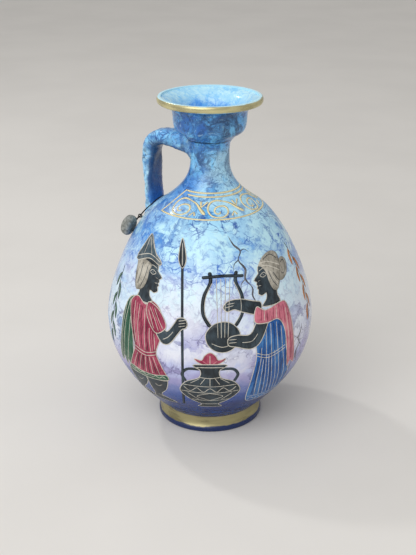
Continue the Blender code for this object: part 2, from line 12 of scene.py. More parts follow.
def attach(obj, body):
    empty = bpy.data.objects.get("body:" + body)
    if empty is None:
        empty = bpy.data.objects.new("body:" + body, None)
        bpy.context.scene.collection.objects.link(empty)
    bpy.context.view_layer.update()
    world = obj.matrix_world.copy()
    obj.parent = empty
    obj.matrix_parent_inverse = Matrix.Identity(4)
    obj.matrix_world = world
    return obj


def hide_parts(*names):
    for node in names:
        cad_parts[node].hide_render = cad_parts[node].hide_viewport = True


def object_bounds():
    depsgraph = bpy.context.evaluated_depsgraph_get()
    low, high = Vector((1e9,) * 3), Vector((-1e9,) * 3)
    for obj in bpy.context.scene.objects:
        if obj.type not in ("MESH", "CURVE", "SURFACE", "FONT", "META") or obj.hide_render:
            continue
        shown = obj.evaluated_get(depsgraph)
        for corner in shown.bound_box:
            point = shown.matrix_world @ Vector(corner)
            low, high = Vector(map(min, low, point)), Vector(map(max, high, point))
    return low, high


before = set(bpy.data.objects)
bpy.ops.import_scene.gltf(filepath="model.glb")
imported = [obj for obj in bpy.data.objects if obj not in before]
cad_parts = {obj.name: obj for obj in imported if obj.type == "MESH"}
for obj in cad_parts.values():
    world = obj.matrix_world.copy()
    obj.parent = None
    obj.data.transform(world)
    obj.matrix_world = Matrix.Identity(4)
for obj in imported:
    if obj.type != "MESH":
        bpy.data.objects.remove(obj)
CAD_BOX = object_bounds()

bl_info = {
    "name": "Painted jug",
    "version": (1, 0, 0),
    "blender": (4, 5, 0),
    "location": "3D View > Sidebar > Painted jug",
    "description": "Builds the glaze, gilding, painting and seal of a one-handled jug round its solids",
    "category": "Object",
}

# Leans of the turned outline at its stations, from upright, positive outwards
FOOT_LEAN = math.radians(47)
SHOULDER_LEAN = math.radians(-57)
NECK_TOP_LEAN = math.radians(12)
CUP_BASE_LEAN = math.radians(29)
CUP_LEAN = math.radians(1.5)
LIP_LEAN = math.radians(72)
THROAT_LEAN = math.radians(11.5)

# Small steps of the lip under the gilded bead, and of the throat above the cup's joint
LIP_EDGE, LIP_DROP, LIP_RISE, LIP_INSET, THROAT_RISE = 0.0002, 0.0009, 0.0026, 0.00065, 0.0033

# Heights between which the shoulder's glaze and then the neck's take over
SHOULDER_GLAZE, NECK_GLAZE = (0.085, 0.125), (0.150, 0.185)

# The painting's middle: the meridian that faces the viewer, as an angle about Z from +X
FRONT = math.radians(-60)

TURNED_SIDES = 160
BODY_SLOT, SHOULDER_SLOT = "belly_glaze", "shoulder_glaze"


# Settings

def length(name, default, description):
    return FloatProperty(name=name, default=default, description=description, unit="LENGTH", precision=4)


def share(name, default, description):
    return FloatProperty(
        name=name, default=default, description=description, subtype="FACTOR", min=0, max=1
    )


def colour(name, code, description):
    return FloatVectorProperty(
        name=name, default=linear(code), description=description, subtype="COLOR", size=3, min=0, max=1
    )


def linear(code):
    """A colour written as six hexadecimal digits, as linear red, green and blue."""
    values = [int(code[start : start + 2], 16) / 255 for start in (0, 2, 4)]
    return tuple(v / 12.92 if v <= 0.04045 else ((v + 0.055) / 1.055) ** 2.4 for v in values)


class JugShape(bpy.types.PropertyGroup):
    """Sizes of the turned body, neck and cup"""

    foot_radius: length("Foot radius", 0.0352, "Widest radius of the foot")
    foot_height: length("Foot height", 0.0105, "Height of the foot under the body")
    foot_edge: length("Foot edge", 0.0032, "Height of the upright edge at the bottom of the foot")
    foot_waist: length("Foot waist", 0.033, "Radius where the foot meets the body")
    foot_ring: length("Foot ring", 0.0085, "Width of the ring that the jug stands on")
    belly_radius: length("Belly radius", 0.0682, "Widest radius of the body")
    belly_height: length("Belly height", 0.075, "Height of the widest point")
    shoulder_radius: length("Shoulder radius", 0.0334, "Radius where the shoulder turns into the neck")
    shoulder_height: length("Shoulder height", 0.1503, "Height where the shoulder turns into the neck")
    neck_radius: length("Neck radius", 0.0124, "Radius of the neck's waist")
    neck_height: length("Neck height", 0.1815, "Height of the neck's waist")
    neck_bore: length("Neck bore", 0.0083, "Inside radius of the neck")
    joint_radius: length("Cup joint radius", 0.013, "Radius where the cup sits on the neck")
    joint_height: length("Cup joint height", 0.1905, "Height where the cup sits on the neck")
    cup_radius: length("Cup radius", 0.0234, "Radius of the mouth cup's wall")
    cup_height: length("Cup height", 0.206, "Height where the cup starts to flare")
    cup_wall: length("Cup wall", 0.0036, "Thickness of the cup's wall")
    lip_radius: length("Lip radius", 0.031, "Radius of the lip inside the gilded bead")
    seat_height: length("Bead seat height", 0.2163, "Height of the seat that carries the bead")
    wall: length("Body wall", 0.005, "Thickness of the body's wall")
    recess: length("Foot recess", 0.005, "Depth of the hollow under the foot")


class RimShape(bpy.types.PropertyGroup):
    """Sizes of the gilded bead"""

    height: length("Bead height", 0.0034, "Height of the gilded bead")
    width: length("Bead width", 0.002, "Width of the gilded bead")
    gap: length("Bead gap", 0.0003, "Clearance under the bead")


class HandleShape(bpy.types.PropertyGroup):
    """Sizes of the strap handle"""

    reach: length("Reach", 0.0436, "Distance of the strap from the jug's axis")
    foot_reach: length("Foot reach", 0.0424, "Distance of the strap's foot from the jug's axis")
    arm_drop: length("Arm drop", 0.0009, "Drop of the arm under the cup's joint")
    root_drop: length("Root drop", 0.0044, "Drop of the handle's root under the cup's joint")
    bend: length("Bend", 0.0122, "Size of the bend between arm and strap")
    bite: length("Bite", 0.004, "Depth of the handle's ends under the surface")
    fillet: length("Fillet", 0.0038, "Rounding of the luted clay round the handle's ends")
    unevenness: length("Unevenness", 0.0010, "Height of the finger marks on the pulled strap")


class GlazeColours(bpy.types.PropertyGroup):
    """Tints of the marbled glaze"""

    ink: colour("Ink", "172c5e", "Bottom edge of the foot")
    # Black deepens other tints: near the foot partly as painted shade, and in the crease under the cup as
    # painted shade
    black: colour("Black", "000000", "Darkens the other tints")
    navy: colour("Navy", "233a92", "Bottom of the body")
    violet: colour("Violet", "4c70b2", "Under the belly")
    inky: colour("Inky violet", "5d5888", "Edges of the clouds round the belly")
    lilac: colour("Lilac", "aaa4d2", "Clouds under the belly")
    mist: colour("Mist", "c2cbef", "Clouds on the belly")
    white: colour("White", "eef1fa", "Light patches on the belly")
    ice: colour("Ice", "c4effd", "Light patches on the shoulder")
    sky: colour("Sky", "78c6f8", "Shoulder")
    azure: colour("Azure", "4c9eee", "Neck")
    royal: colour("Royal blue", "428de0", "Pools on the shoulder and the neck")
    cobalt: colour("Cobalt", "3a80d6", "Cup and handle")
    deep: colour("Deep blue", "1f4590", "Darkest parts of the cup and the handle")
    vein: colour("Vein", "1c54be", "Veins of the marbling")
    # Slate greys the cup's right side, partly as painted shade
    slate: colour("Slate", "4d6a80", "Grey pools on the cup")
    # Storm also tints the painted shade in the crease under the cup and on the handle's inner faces
    storm: colour("Storm", "27466f", "Ink on the neck, the cup and the handle")


class GoldLook(bpy.types.PropertyGroup):
    """Gold lustre and its wear"""

    rim: colour("Gold of the rim", "d2ca9a", "Gold lustre on the rim")
    # The foot's gold is darker and duller than the rim's, partly as painted shade low by the floor
    foot: colour("Gold of the foot", "aca378", "Gold lustre on the foot, which takes more wear")
    line: colour("Gold line", "fbecb8", "Gold lines of the band")
    worn: share("Wear", 0.06, "Share of the gold that has worn thin")


class PaintColours(bpy.types.PropertyGroup):
    """Tints of the painting"""

    black: colour("Black", "262f36", "Skin, the pot, the spear and the lyre")
    slate: colour("Slate", "475964", "Cap, and thin black")
    blue: colour("Blue", "1a5aa6", "Robe")
    night: colour("Night blue", "123f78", "Folds of the robe")
    thin_blue: colour("Thin blue", "5593cc", "Streaks of the robe")
    red: colour("Red", "93294a", "Tunic and flower")
    wine: colour("Wine", "5e1c34", "Folds of the tunic")
    pink: colour("Pink", "cf7487", "Shawl, and thin red")
    green: colour("Green", "285f48", "Cloak, hem and leaves")
    pine: colour("Pine", "143d2e", "Folds of the cloak")
    cream: colour("Cream", "dcd7ca", "Drawn lines and edges")
    grey: colour("Grey", "989387", "Hair")
    smoke: colour("Smoke", "5a5860", "Dark veins in the glaze")
    orange: colour("Orange", "c67a35", "Autumn leaves")


class SealLook(bpy.types.PropertyGroup):
    """Tints of the seal and its wire"""

    lead: colour("Lead", "a2a49e", "Rubbed lead")
    dull: colour("Dull lead", "6a6c68", "Lead in the hollows")
    wire: colour("Wire", "1b1b1d", "Dark wire")
    rust: colour("Rust", "3a332e", "Rust on the wire")


class StageLook(bpy.types.PropertyGroup):
    """Tint of the floor, and the lights"""

    floor: colour("Floor", "e9e6e1", "The studio floor")
    key: FloatProperty(name="Key light", default=2.2, description="Power of the window light", unit="POWER")
    soft: FloatProperty(name="Soft light", default=17, description="Power of the wide lamp", unit="POWER")
    world: share("Surrounding light", 0.5, "Strength of the light from all round")


SETTINGS = (
    ("jug_shape", JugShape),
    ("jug_rim", RimShape),
    ("jug_handle", HandleShape),
    ("jug_glaze", GlazeColours),
    ("jug_gold", GoldLook),
    ("jug_paint", PaintColours),
    ("jug_seal", SealLook),
    ("jug_stage", StageLook),
)


def settings(name):
    return getattr(bpy.context.scene, name)


# Turned outline

def heading(lean):
    return Vector((math.sin(lean), math.cos(lean)))


def curve(start, start_lean, end, end_lean, pulls, pieces):
    """Points (radius, height) on a cubic curve between two points, with its lean given at each."""
    start, end = Vector(start), Vector(end)
    chord = (end - start).length
    first = start + heading(start_lean) * chord * pulls[0]
    second = end - heading(end_lean) * chord * pulls[1]
    points = []
    for step in range(pieces + 1):
        t = step / pieces
        s = 1 - t
        points.append(start * s**3 + first * 3 * t * s * s + second * 3 * t * t * s + end * t**3)
    return points


def body_outline():
    """The body's outside from the foot to the neck's waist."""
    jug = settings("jug_shape")
    foot, belly = (jug.foot_waist, jug.foot_height), (jug.belly_radius, jug.belly_height)
    shoulder, neck = (jug.shoulder_radius, jug.shoulder_height), (jug.neck_radius, jug.neck_height)
    return (
        curve(foot, FOOT_LEAN, belly, 0, (0.62, 0.19), 36)
        + curve(belly, 0, shoulder, SHOULDER_LEAN, (0.275, 0.215), 40)[1:]
        + curve(shoulder, SHOULDER_LEAN, neck, 0, (0.62, 0.25), 22)[1:]
    )


def cup_outline():
    """The outside from the neck's waist over the cup to the underside of the lip."""
    jug = settings("jug_shape")
    neck, joint = (jug.neck_radius, jug.neck_height), (jug.joint_radius, jug.joint_height)
    cup, lip = (jug.cup_radius, jug.cup_height), (jug.lip_radius + LIP_EDGE, jug.seat_height - LIP_DROP)
    return (
        curve(neck, 0, joint, NECK_TOP_LEAN, (0.5, 0.3), 8)
        + curve(joint, CUP_BASE_LEAN, cup, CUP_LEAN, (0.54, 0.65), 20)
        + curve(cup, CUP_LEAN, lip, LIP_LEAN, (0.62, 0.5), 14)[1:]
    )


def outside_outline():
    """The whole outside from the foot to the lip."""
    return body_outline() + cup_outline()[1:]


def mouth_outline():
    """The inside from the lip's top down to the throat."""
    jug = settings("jug_shape")
    inner, top = jug.cup_radius - jug.cup_wall, jug.seat_height + LIP_RISE
    waist, throat = (inner, jug.cup_height), (jug.neck_bore, jug.joint_height + THROAT_RISE)
    funnel = curve(waist, CUP_LEAN, (jug.lip_radius - LIP_INSET, top), LIP_LEAN, (0.45, 0.4), 14)
    floor = curve(throat, THROAT_LEAN, waist, CUP_LEAN, (0.45, 0.55), 14)
    return [*reversed(funnel), *reversed(floor[:-1])]


def hollow_outline():
    """The inside from the throat down to the middle of the floor."""
    jug = settings("jug_shape")
    bore_foot, bore_top = (0.0134, 0.1551), (jug.neck_bore, jug.neck_height)
    lowest, highest, least_radius, floor_radius = jug.foot_height + 0.001, 0.152, 0.019, 0.0239
    outside, inside = body_outline(), []
    for index in range(2, len(outside) - 2, 4):
        along = (outside[index + 1] - outside[index - 1]).normalized()
        point = outside[index] - Vector((along.y, -along.x)) * jug.wall
        if lowest < point.y < highest and point.x > least_radius:
            inside.append(point)
    bore = curve(bore_foot, 0, bore_top, 0, (0.35, 0.45), 8)
    floor = jug.recess + jug.wall
    return [*reversed(bore), *reversed(inside), Vector((floor_radius, floor)), Vector((0, floor))]


def radius_at(outline, height):
    """The outline's radius at a height, or 0 past its ends."""
    for lower, upper in zip(outline, outline[1:]):
        if lower.y <= height <= upper.y:
            return lower.lerp(upper, (height - lower.y) / (upper.y - lower.y)).x
    return 0.0


# Meshes

def add_piece(name, mesh, materials, slot, nodes=(), body="jug"):
    """Links a mesh as a piece that rides on a body, and shows it in place of the named solids."""
    for material in materials:
        mesh.materials.append(material)
    piece = bpy.data.objects.new(name, mesh)
    bpy.context.scene.collection.objects.link(piece)
    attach(piece, body)
    if nodes:
        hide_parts(*nodes)


def mesh_from(name, work, smooth=True):
    bmesh.ops.recalc_face_normals(work, faces=work.faces)
    for face in work.faces:
        face.smooth = smooth
    mesh = bpy.data.meshes.new(name)
    work.to_mesh(mesh)
    work.free()
    return mesh


def bridge(work, near, far):
    """The faces between two rings of points, where a ring of one point is a pole."""
    faces, sides = [], max(len(near), len(far))
    for side in range(sides):
        after = (side + 1) % sides
        corners = [near[i % len(near)] for i in (side, after)] + [far[i % len(far)] for i in (after, side)]
        faces.append(work.faces.new(list(dict.fromkeys(corners))))
    return faces


def turned(name, outline, second_from=math.inf):
    """A closed mesh turned about Z; its second material starts at an edge of the outline."""
    work, rings = bmesh.new(), []
    turns = [math.tau * side / TURNED_SIDES for side in range(TURNED_SIDES)]
    for radius, height in outline:
        ring = [(radius * math.cos(turn), radius * math.sin(turn), height) for turn in turns]
        rings.append([work.verts.new(place) for place in (ring if radius > 1e-6 else [(0, 0, height)])])
    pairs = list(zip(rings, rings[1:]))
    if len(rings[0]) > 1:
        pairs.append((rings[-1], rings[0]))
    for index, (near, far) in enumerate(pairs):
        for face in bridge(work, near, far):
            face.material_index = int(index >= second_from)
    mesh = mesh_from(name, work)
    mesh.set_sharp_from_angle(angle=math.radians(38))
    return mesh


# Materials

class Finish:
    """A procedural material under construction: short calls that add nodes and return their outputs."""

    def __init__(self, name):
        self.material = bpy.data.materials.new(name)
        self.material.use_nodes = True
        self.tree = self.material.node_tree
        self.shader = self.tree.nodes["Principled BSDF"]
        self.coordinates = self.add("ShaderNodeTexCoord", {}).outputs
        self.place = self.coordinates["Object"]

    def add(self, kind, inputs, **values):
        """A node with its own settings, and its inputs by name or number."""
        node = self.tree.nodes.new(kind)
        for key, value in values.items():
            setattr(node, key, value)
        for key, value in inputs.items():
            self.feed(node.inputs[key], value)
        return node

    def feed(self, socket, value):
        if isinstance(value, bpy.types.NodeSocket):
            self.tree.links.new(value, socket)
        else:
            socket.default_value = (*value[:3], 1) if socket.type == "RGBA" else value

    def set(self, **values):
        """Sets the shader's own sockets by name, with underscores for spaces."""
        for key, value in values.items():
            self.feed(self.shader.inputs[key.replace("_", " ").title().replace("Ior", "IOR")], value)

    def math(self, operation, *values, clamp=False):
        inputs = dict(enumerate(values))
        return self.add("ShaderNodeMath", inputs, operation=operation, use_clamp=clamp).outputs[0]

    def vector(self, operation, *values, output="Vector"):
        inputs = dict(enumerate(values))
        return self.add("ShaderNodeVectorMath", inputs, operation=operation).outputs[output]

    def times(self, first, *others):
        for other in others:
            first = self.math("MULTIPLY", first, other)
        return first

    def most(self, first, *others):
        for other in others:
            first = self.math("MAXIMUM", first, other)
        return first

    def scaled(self, value, factor, start):
        return self.math("MULTIPLY_ADD", value, factor, start)

    def ridge(self, value, level, reach, amount, core=0.0):
        """A line where a value passes a level: an amount at its core that fades out within a reach."""
        off = self.math("ABSOLUTE", self.math("SUBTRACT", value, level))
        return self.step(off, core, reach, amount, 0.0)

    def noise(self, size, detail=2.0, rough=0.5, place=None, twist=0.0, output="Fac"):
        """Cloudy noise whose lumps are about a size across, in metres."""
        inputs = {"Vector": place or self.place, "Scale": 1 / size, "Detail": detail, "Roughness": rough}
        return self.add("ShaderNodeTexNoise", {**inputs, "Distortion": twist}).outputs[output]

    def cracks(self, size, place, width, amount):
        """Lines between cells of about a size, in metres; the width is a share of a cell."""
        inputs = {"Vector": place, "Scale": 1 / size}
        node = self.add("ShaderNodeTexVoronoi", inputs, feature="DISTANCE_TO_EDGE")
        return self.step(node.outputs["Distance"], 0.0, width, amount, 0.0)

    def warped(self, size, reach, place=None):
        """The place, pushed about by noise."""
        lumps = self.noise(size, 3, 0.55, place, output="Color")
        push = self.vector("MULTIPLY_ADD", lumps, (2 * reach,) * 3, (-reach,) * 3)
        return self.vector("ADD", place or self.place, push)

    def stretched(self, along):
        """The place, with heights scaled so that noise runs in upright or level streaks."""
        return self.vector("MULTIPLY", self.place, (1, 1, along))

    def height(self, place=None):
        return self.add("ShaderNodeSeparateXYZ", {0: place or self.place}).outputs["Z"]

    def reach(self):
        """The distance from the jug's axis."""
        return self.vector("LENGTH", self.stretched(0), output="Value")

    def within(self, place, centre, size):
        """How far a place lies inside a ball, from 0 at its skin to 1."""
        distance = self.vector("DISTANCE", place, centre, output="Value")
        return self.step(distance, size * 0.45, size, 1.0, 0.0)

    def step(self, value, low, high, start=0.0, end=1.0):
        """A soft step of a value between two levels."""
        inputs = dict(enumerate((value, low, high, start, end)))
        return self.add("ShaderNodeMapRange", inputs, interpolation_type="SMOOTHSTEP").outputs[0]

    def ramp(self, value, stops):
        """A colour by a value from 0 to 1, from (position, colour) stops."""
        node = self.add("ShaderNodeValToRGB", {0: value})
        line = node.color_ramp
        line.interpolation = "EASE"
        while len(line.elements) < len(stops):
            line.elements.new(0.5)
        for element, (position, tint) in zip(line.elements, stops):
            element.position = position
            element.color = (*tint[:3], 1)
        return node.outputs[0]

    def mix(self, amount, under, over):
        return self.add("ShaderNodeMix", {0: amount, 6: under, 7: over}, data_type="RGBA").outputs[2]

    def bump(self, height, strength, distance):
        node = self.add("ShaderNodeBump", {"Strength": strength, "Distance": distance, "Height": height})
        self.feed(self.shader.inputs["Normal"], node.outputs[0])


def mixed(first, second, amount):
    return tuple(a + (b - a) * amount for a, b in zip(first, second))


def darker(tint, amount):
    return tuple(value * (1 - amount) for value in tint)


def glaze_tint(name, *others):
    """A tint of the glaze by its name, with others mixed into it in turn, each by name and share."""
    tints = settings("jug_glaze")
    tint = getattr(tints, name)
    for other, part in zip(others[::2], others[1::2]):
        tint = mixed(tint, getattr(tints, other), part)
    return tint


def by_height(finish, stops, wander=0.013):
    """A tint by height, from rows of a height and its tint, with a wandering edge between the tints."""
    jug_height = CAD_BOX[1].z
    drift = finish.noise(0.034, 6, 0.68, finish.warped(0.02, 0.006))
    level = finish.scaled(drift, 2 * wander, finish.math("SUBTRACT", finish.height(), wander))
    level = finish.math("DIVIDE", level, jug_height)
    return finish.ramp(level, [(height / jug_height, glaze_tint(*names)) for height, *names in stops])


def glaze_point(angle, height):
    """The glaze's point at an angle from the handle in degrees, and a height."""
    radius, turn = radius_at(outside_outline(), height), math.radians(angle - 180)
    return radius * math.cos(turn), radius * math.sin(turn), height


def pooled(finish, tint, place, pools):
    """Pools in the glaze with torn edges, from rows of angle, height, size, tint and share."""
    for angle, height, size, name, part in pools:
        near = finish.within(place, glaze_point(angle, height), size)
        tint = finish.mix(finish.times(near, part), tint, glaze_tint(name))
    return tint


def ink_net(finish, drifted, torn, swirl, broad, upper, top, nets):
    """Where the ink runs: seams of the clouds, crackle, threads, wisps on the neck, nets round points."""
    run_in = finish.times(finish.step(swirl, 0.38, 0.5, 0.0, 0.5), finish.math("SUBTRACT", 1.0, broad))
    here = finish.step(finish.noise(0.035, 2, 0.5), 0.40, 0.56)
    seams = finish.times(finish.most(finish.ridge(swirl, 0.49, 0.016, 0.9), run_in), here, 0.85)
    there = finish.step(finish.noise(0.018, 3, 0.6, drifted), 0.42, 0.58)
    crackle = finish.times(finish.cracks(0.0062, torn, 0.08, 1.0), there, upper, 0.9)
    threads = finish.ridge(finish.noise(0.021, 6, 0.6, torn), 0.5, 0.014, 0.75)
    threads = finish.times(threads, finish.step(swirl, 0.40, 0.56, 1.0, 0.1))
    wisps = finish.times(finish.ridge(finish.noise(0.0085, 5, 0.62, torn), 0.5, 0.022, 0.85), top)
    net = finish.most(seams, crackle, threads, wisps)
    if nets:
        broken = finish.step(finish.noise(0.012, 4, 0.6, drifted), 0.42, 0.56, 0.15, 1.0)
        lines = finish.times(finish.cracks(0.0085, torn, 0.06, 0.75), broken)
        for angle, height, size in nets:
            near = finish.within(torn, glaze_point(angle, height), size)
            net = finish.most(net, finish.times(lines, near))
    return net


def brushed_ring(finish, tint, height):
    """The dark ring brushed above the foot, streaked and torn along its upper edge; its black share is
    partly painted shade low on the body.
    """
    streaks = finish.noise(0.006, 3, 0.6, finish.stretched(7))
    brushed = finish.scaled(streaks, 0.016, finish.height())
    dark, light = glaze_tint("navy", "black", 0.6), glaze_tint("navy", "cobalt", 0.45, "black", 0.25)
    wash = finish.step(brushed, height + 0.014, height + 0.030, 0.9, 0.0)
    tint = finish.mix(wash, tint, finish.ramp(streaks, [(0.4, dark), (0.62, light)]))
    line = finish.step(brushed, height + 0.006, height + 0.009, 0.9, 0.0)
    return finish.mix(line, tint, glaze_tint("navy", "black", 0.55))


def shaded_inside(finish, tint, mottle, stops):
    """Painted shade: darker tints where a handle's surface turns in and down, with a torn edge."""
    facing = finish.vector("DOT_PRODUCT", finish.coordinates["Normal"], (0.75, 0, -0.66), output="Value")
    turned_in = finish.scaled(finish.math("SUBTRACT", mottle, 0.5), 0.5, facing)
    return finish.mix(finish.step(turned_in, -0.2, 0.55, 0.0, 0.9), tint, by_height(finish, stops, 0.006))


def marbled_glaze(
    name, ground, patch, veins, pools=(), washes=(), nets=(), ring=None, joint=None, hollow=(), lumps=0.09
):
    """Marbled glaze: clouds of two tints by height, pools under and over them, ink, mottling and flecks.

    ring is the height of the brushed ring, joint that of a painted shade line in the crease under the cup,
    hollow the tints of painted shade on a handle's inner face.
    """
    finish, tints = Finish(name), settings("jug_glaze")
    drifted = finish.warped(0.030, 0.010)
    torn = finish.warped(0.006, 0.0026, drifted)
    level = finish.height(drifted)
    upper, top = finish.step(level, *SHOULDER_GLAZE), finish.step(level, *NECK_GLAZE)
    swirl = finish.noise(0.026, 5, 0.64, drifted)
    broad = finish.step(swirl, 0.46, 0.54)
    small = finish.step(finish.noise(0.0095, 4, 0.64, torn), 0.44, 0.58)
    small = finish.times(small, finish.scaled(upper, 0.22, 0.25))
    clouds = finish.math("MULTIPLY_ADD", broad, 0.62, small, clamp=True)
    tint = pooled(finish, by_height(finish, ground), torn, pools)
    tint = finish.mix(clouds, tint, by_height(finish, patch))
    tint = pooled(finish, tint, torn, washes)
    vein = by_height(finish, veins)
    net = ink_net(finish, drifted, torn, swirl, broad, upper, top, nets)
    tint = finish.mix(net, tint, vein)
    mottle = finish.noise(0.0085, 5, 0.68, finish.stretched(0.6))
    tint = finish.mix(finish.times(finish.step(mottle, 0.47, 0.38), top, 0.75), tint, tints.sky)
    tint = finish.mix(finish.times(finish.step(mottle, 0.54, 0.63), top, 0.55), tint, vein)
    grain = finish.step(finish.noise(0.0045, 4, 0.7, torn), 0.48, 0.66)
    tint = finish.mix(finish.times(grain, finish.scaled(upper, 0.42, 0.08)), tint, vein)
    fleck = finish.step(finish.noise(0.0026, 3, 0.65, torn), 0.58, 0.70)
    fleck = finish.times(fleck, finish.scaled(upper, 0.50, 0.05), finish.scaled(top, -0.45, 1.0))
    tint = finish.mix(fleck, tint, tints.ice)
    coat = 0.18
    if ring:
        tint = brushed_ring(finish, tint, ring)
        coat = finish.step(finish.height(), 0.020, 0.050, 0.0, coat)
    if joint:
        # Painted shade: a dark line in the crease where the cup sits on the neck, broken in places
        seam = finish.ridge(finish.height(finish.warped(0.006, 0.0007)), joint, 0.0010, 0.92, 0.0003)
        seam = finish.times(seam, finish.step(swirl, 0.32, 0.42))
        tint = finish.mix(seam, tint, glaze_tint("storm", "black", 0.5))
    # Painted shade on a handle's faces that turn in towards the jug and down
    if hollow:
        tint = shaded_inside(finish, tint, mottle, hollow)
    finish.set(base_color=tint, specular_ior_level=0.3, coat_weight=coat, coat_roughness=0.08)
    finish.set(roughness=finish.step(finish.noise(0.012, 3), 0.3, 0.7, 0.20, 0.32))
    finish.bump(finish.math("ADD", finish.noise(0.016, 2), finish.times(net, -0.12)), lumps, 0.001)
    return finish.material


def gold_lustre(name, bright, metal, under, edge_height=None, inner_reach=None):
    """Gold brushed over the glaze, with streaks, worn spots, and the glaze's own tint past an edge."""
    finish = Finish(name)
    level_streaks = finish.noise(0.013, 2, 0.5, finish.stretched(6))
    streak = finish.scaled(level_streaks, 0.5, finish.times(finish.noise(0.018, 2), 0.5))
    tint = finish.ramp(streak, [(0.34, darker(bright, 0.06 + 0.5 * metal)), (0.60, bright)])
    wear = settings("jug_gold").worn * 0.5
    bare = finish.step(finish.noise(0.0032, 4, 0.7), 0.74 - wear, 0.78 - wear, 0.0, 0.8)
    if edge_height:
        brushed = finish.scaled(finish.noise(0.006, 2), 0.0016, finish.height())
        bare = finish.most(bare, finish.step(brushed, edge_height + 0.0014, edge_height + 0.0019, 1.0, 0.0))
    if inner_reach:
        brushed = finish.scaled(finish.noise(0.007, 3), 0.0012, finish.reach())
        bare = finish.most(bare, finish.step(brushed, inner_reach + 0.0004, inner_reach + 0.0008, 1.0, 0.0))
    finish.set(base_color=finish.mix(bare, tint, under), metallic=finish.scaled(bare, -metal, metal))
    finish.set(roughness=finish.step(streak, 0.35, 0.65, 0.24, 0.40))
    finish.bump(streak, 0.12, 0.0004)
    return finish.material


def paint(name, tint, thin):
    """Slip painted over the glaze: brush strokes of a tint, thinner and paler in streaks."""
    finish = Finish(name)
    stroke = finish.noise(0.0028, 4, 0.65, finish.stretched(0.35), 0.6)
    streaks = finish.scaled(finish.noise(0.014, 2, 0.5), 0.7, finish.times(stroke, 0.6))
    tint = finish.mix(finish.step(stroke, 0.36, 0.54, 0.55, 0.0), tint, darker(tint, 0.6))
    tint = finish.mix(finish.step(streaks, 0.55, 0.85), tint, thin)
    finish.set(base_color=tint, specular_ior_level=0.3, coat_weight=0.08, coat_roughness=0.15)
    finish.set(roughness=finish.step(stroke, 0.3, 0.7, 0.34, 0.5))
    finish.bump(stroke, 0.15, 0.0003)
    return finish.material


def pigments():
    """A function that gives the painting's material of a tint, made once for each."""
    tints = settings("jug_paint")
    thins = {"black": tints.slate, "blue": tints.thin_blue, "red": tints.pink, "grey": tints.cream}
    thins.update(wine=tints.red, pine=tints.green, night=tints.blue)

    def material(tint):
        name, full = f"{tint}_slip", getattr(tints, tint)
        thin = thins.get(tint, mixed(full, tints.cream, 0.3))
        return bpy.data.materials.get(name) or paint(name, full, mixed(full, thin, 0.6))

    return material


# Painting

def inside(point, edge):
    """Whether a flat point lies inside a closed outline."""
    odd = False
    for (x, y), (u, v) in zip(edge, [*edge[1:], edge[0]]):
        if (y > point[1]) != (v > point[1]) and point[0] < x + (point[1] - y) * (u - x) / (v - y):
            odd = not odd
    return odd


def smooth(points, closed, step=1.1):
    """A smooth line through points, in steps of about a length."""
    count, line = len(points), []
    for index in range(count if closed else count - 1):
        span = [index + shift for shift in (-1, 0, 1, 2)]
        corners = [Vector(points[i % count if closed else min(max(i, 0), count - 1)]) for i in span]
        a, b, c, d = corners
        pieces = max(1, round((c - b).length / step))
        for piece in range(pieces):
            t = piece / pieces
            line.append(b + (c - a + (2 * a - 5 * b + 4 * c - d + (3 * (b - c) + d - a) * t) * t) * t / 2)
    if not closed:
        line.append(Vector(points[-1]))
    return line


def at(guide, part):
    """The point at a share of the way along a guide line, counted by its points."""
    spot = part * (len(guide) - 1)
    index = min(int(spot), len(guide) - 2)
    return Vector(guide[index]).lerp(Vector(guide[index + 1]), spot - index)


def placed(points, x=0, y=0, facing=1):
    """Points moved to a place, and mirrored where facing is -1."""
    return [(x + facing * u, y + v) for u, v in points]


def mirrored(half, middle=0):
    """A closed outline from its right half, drawn upwards, and the upright line it is mirrored in."""
    left = [point for point in reversed(half) if point[0]]
    return placed(half, middle) + placed(left, middle, 0, -1)


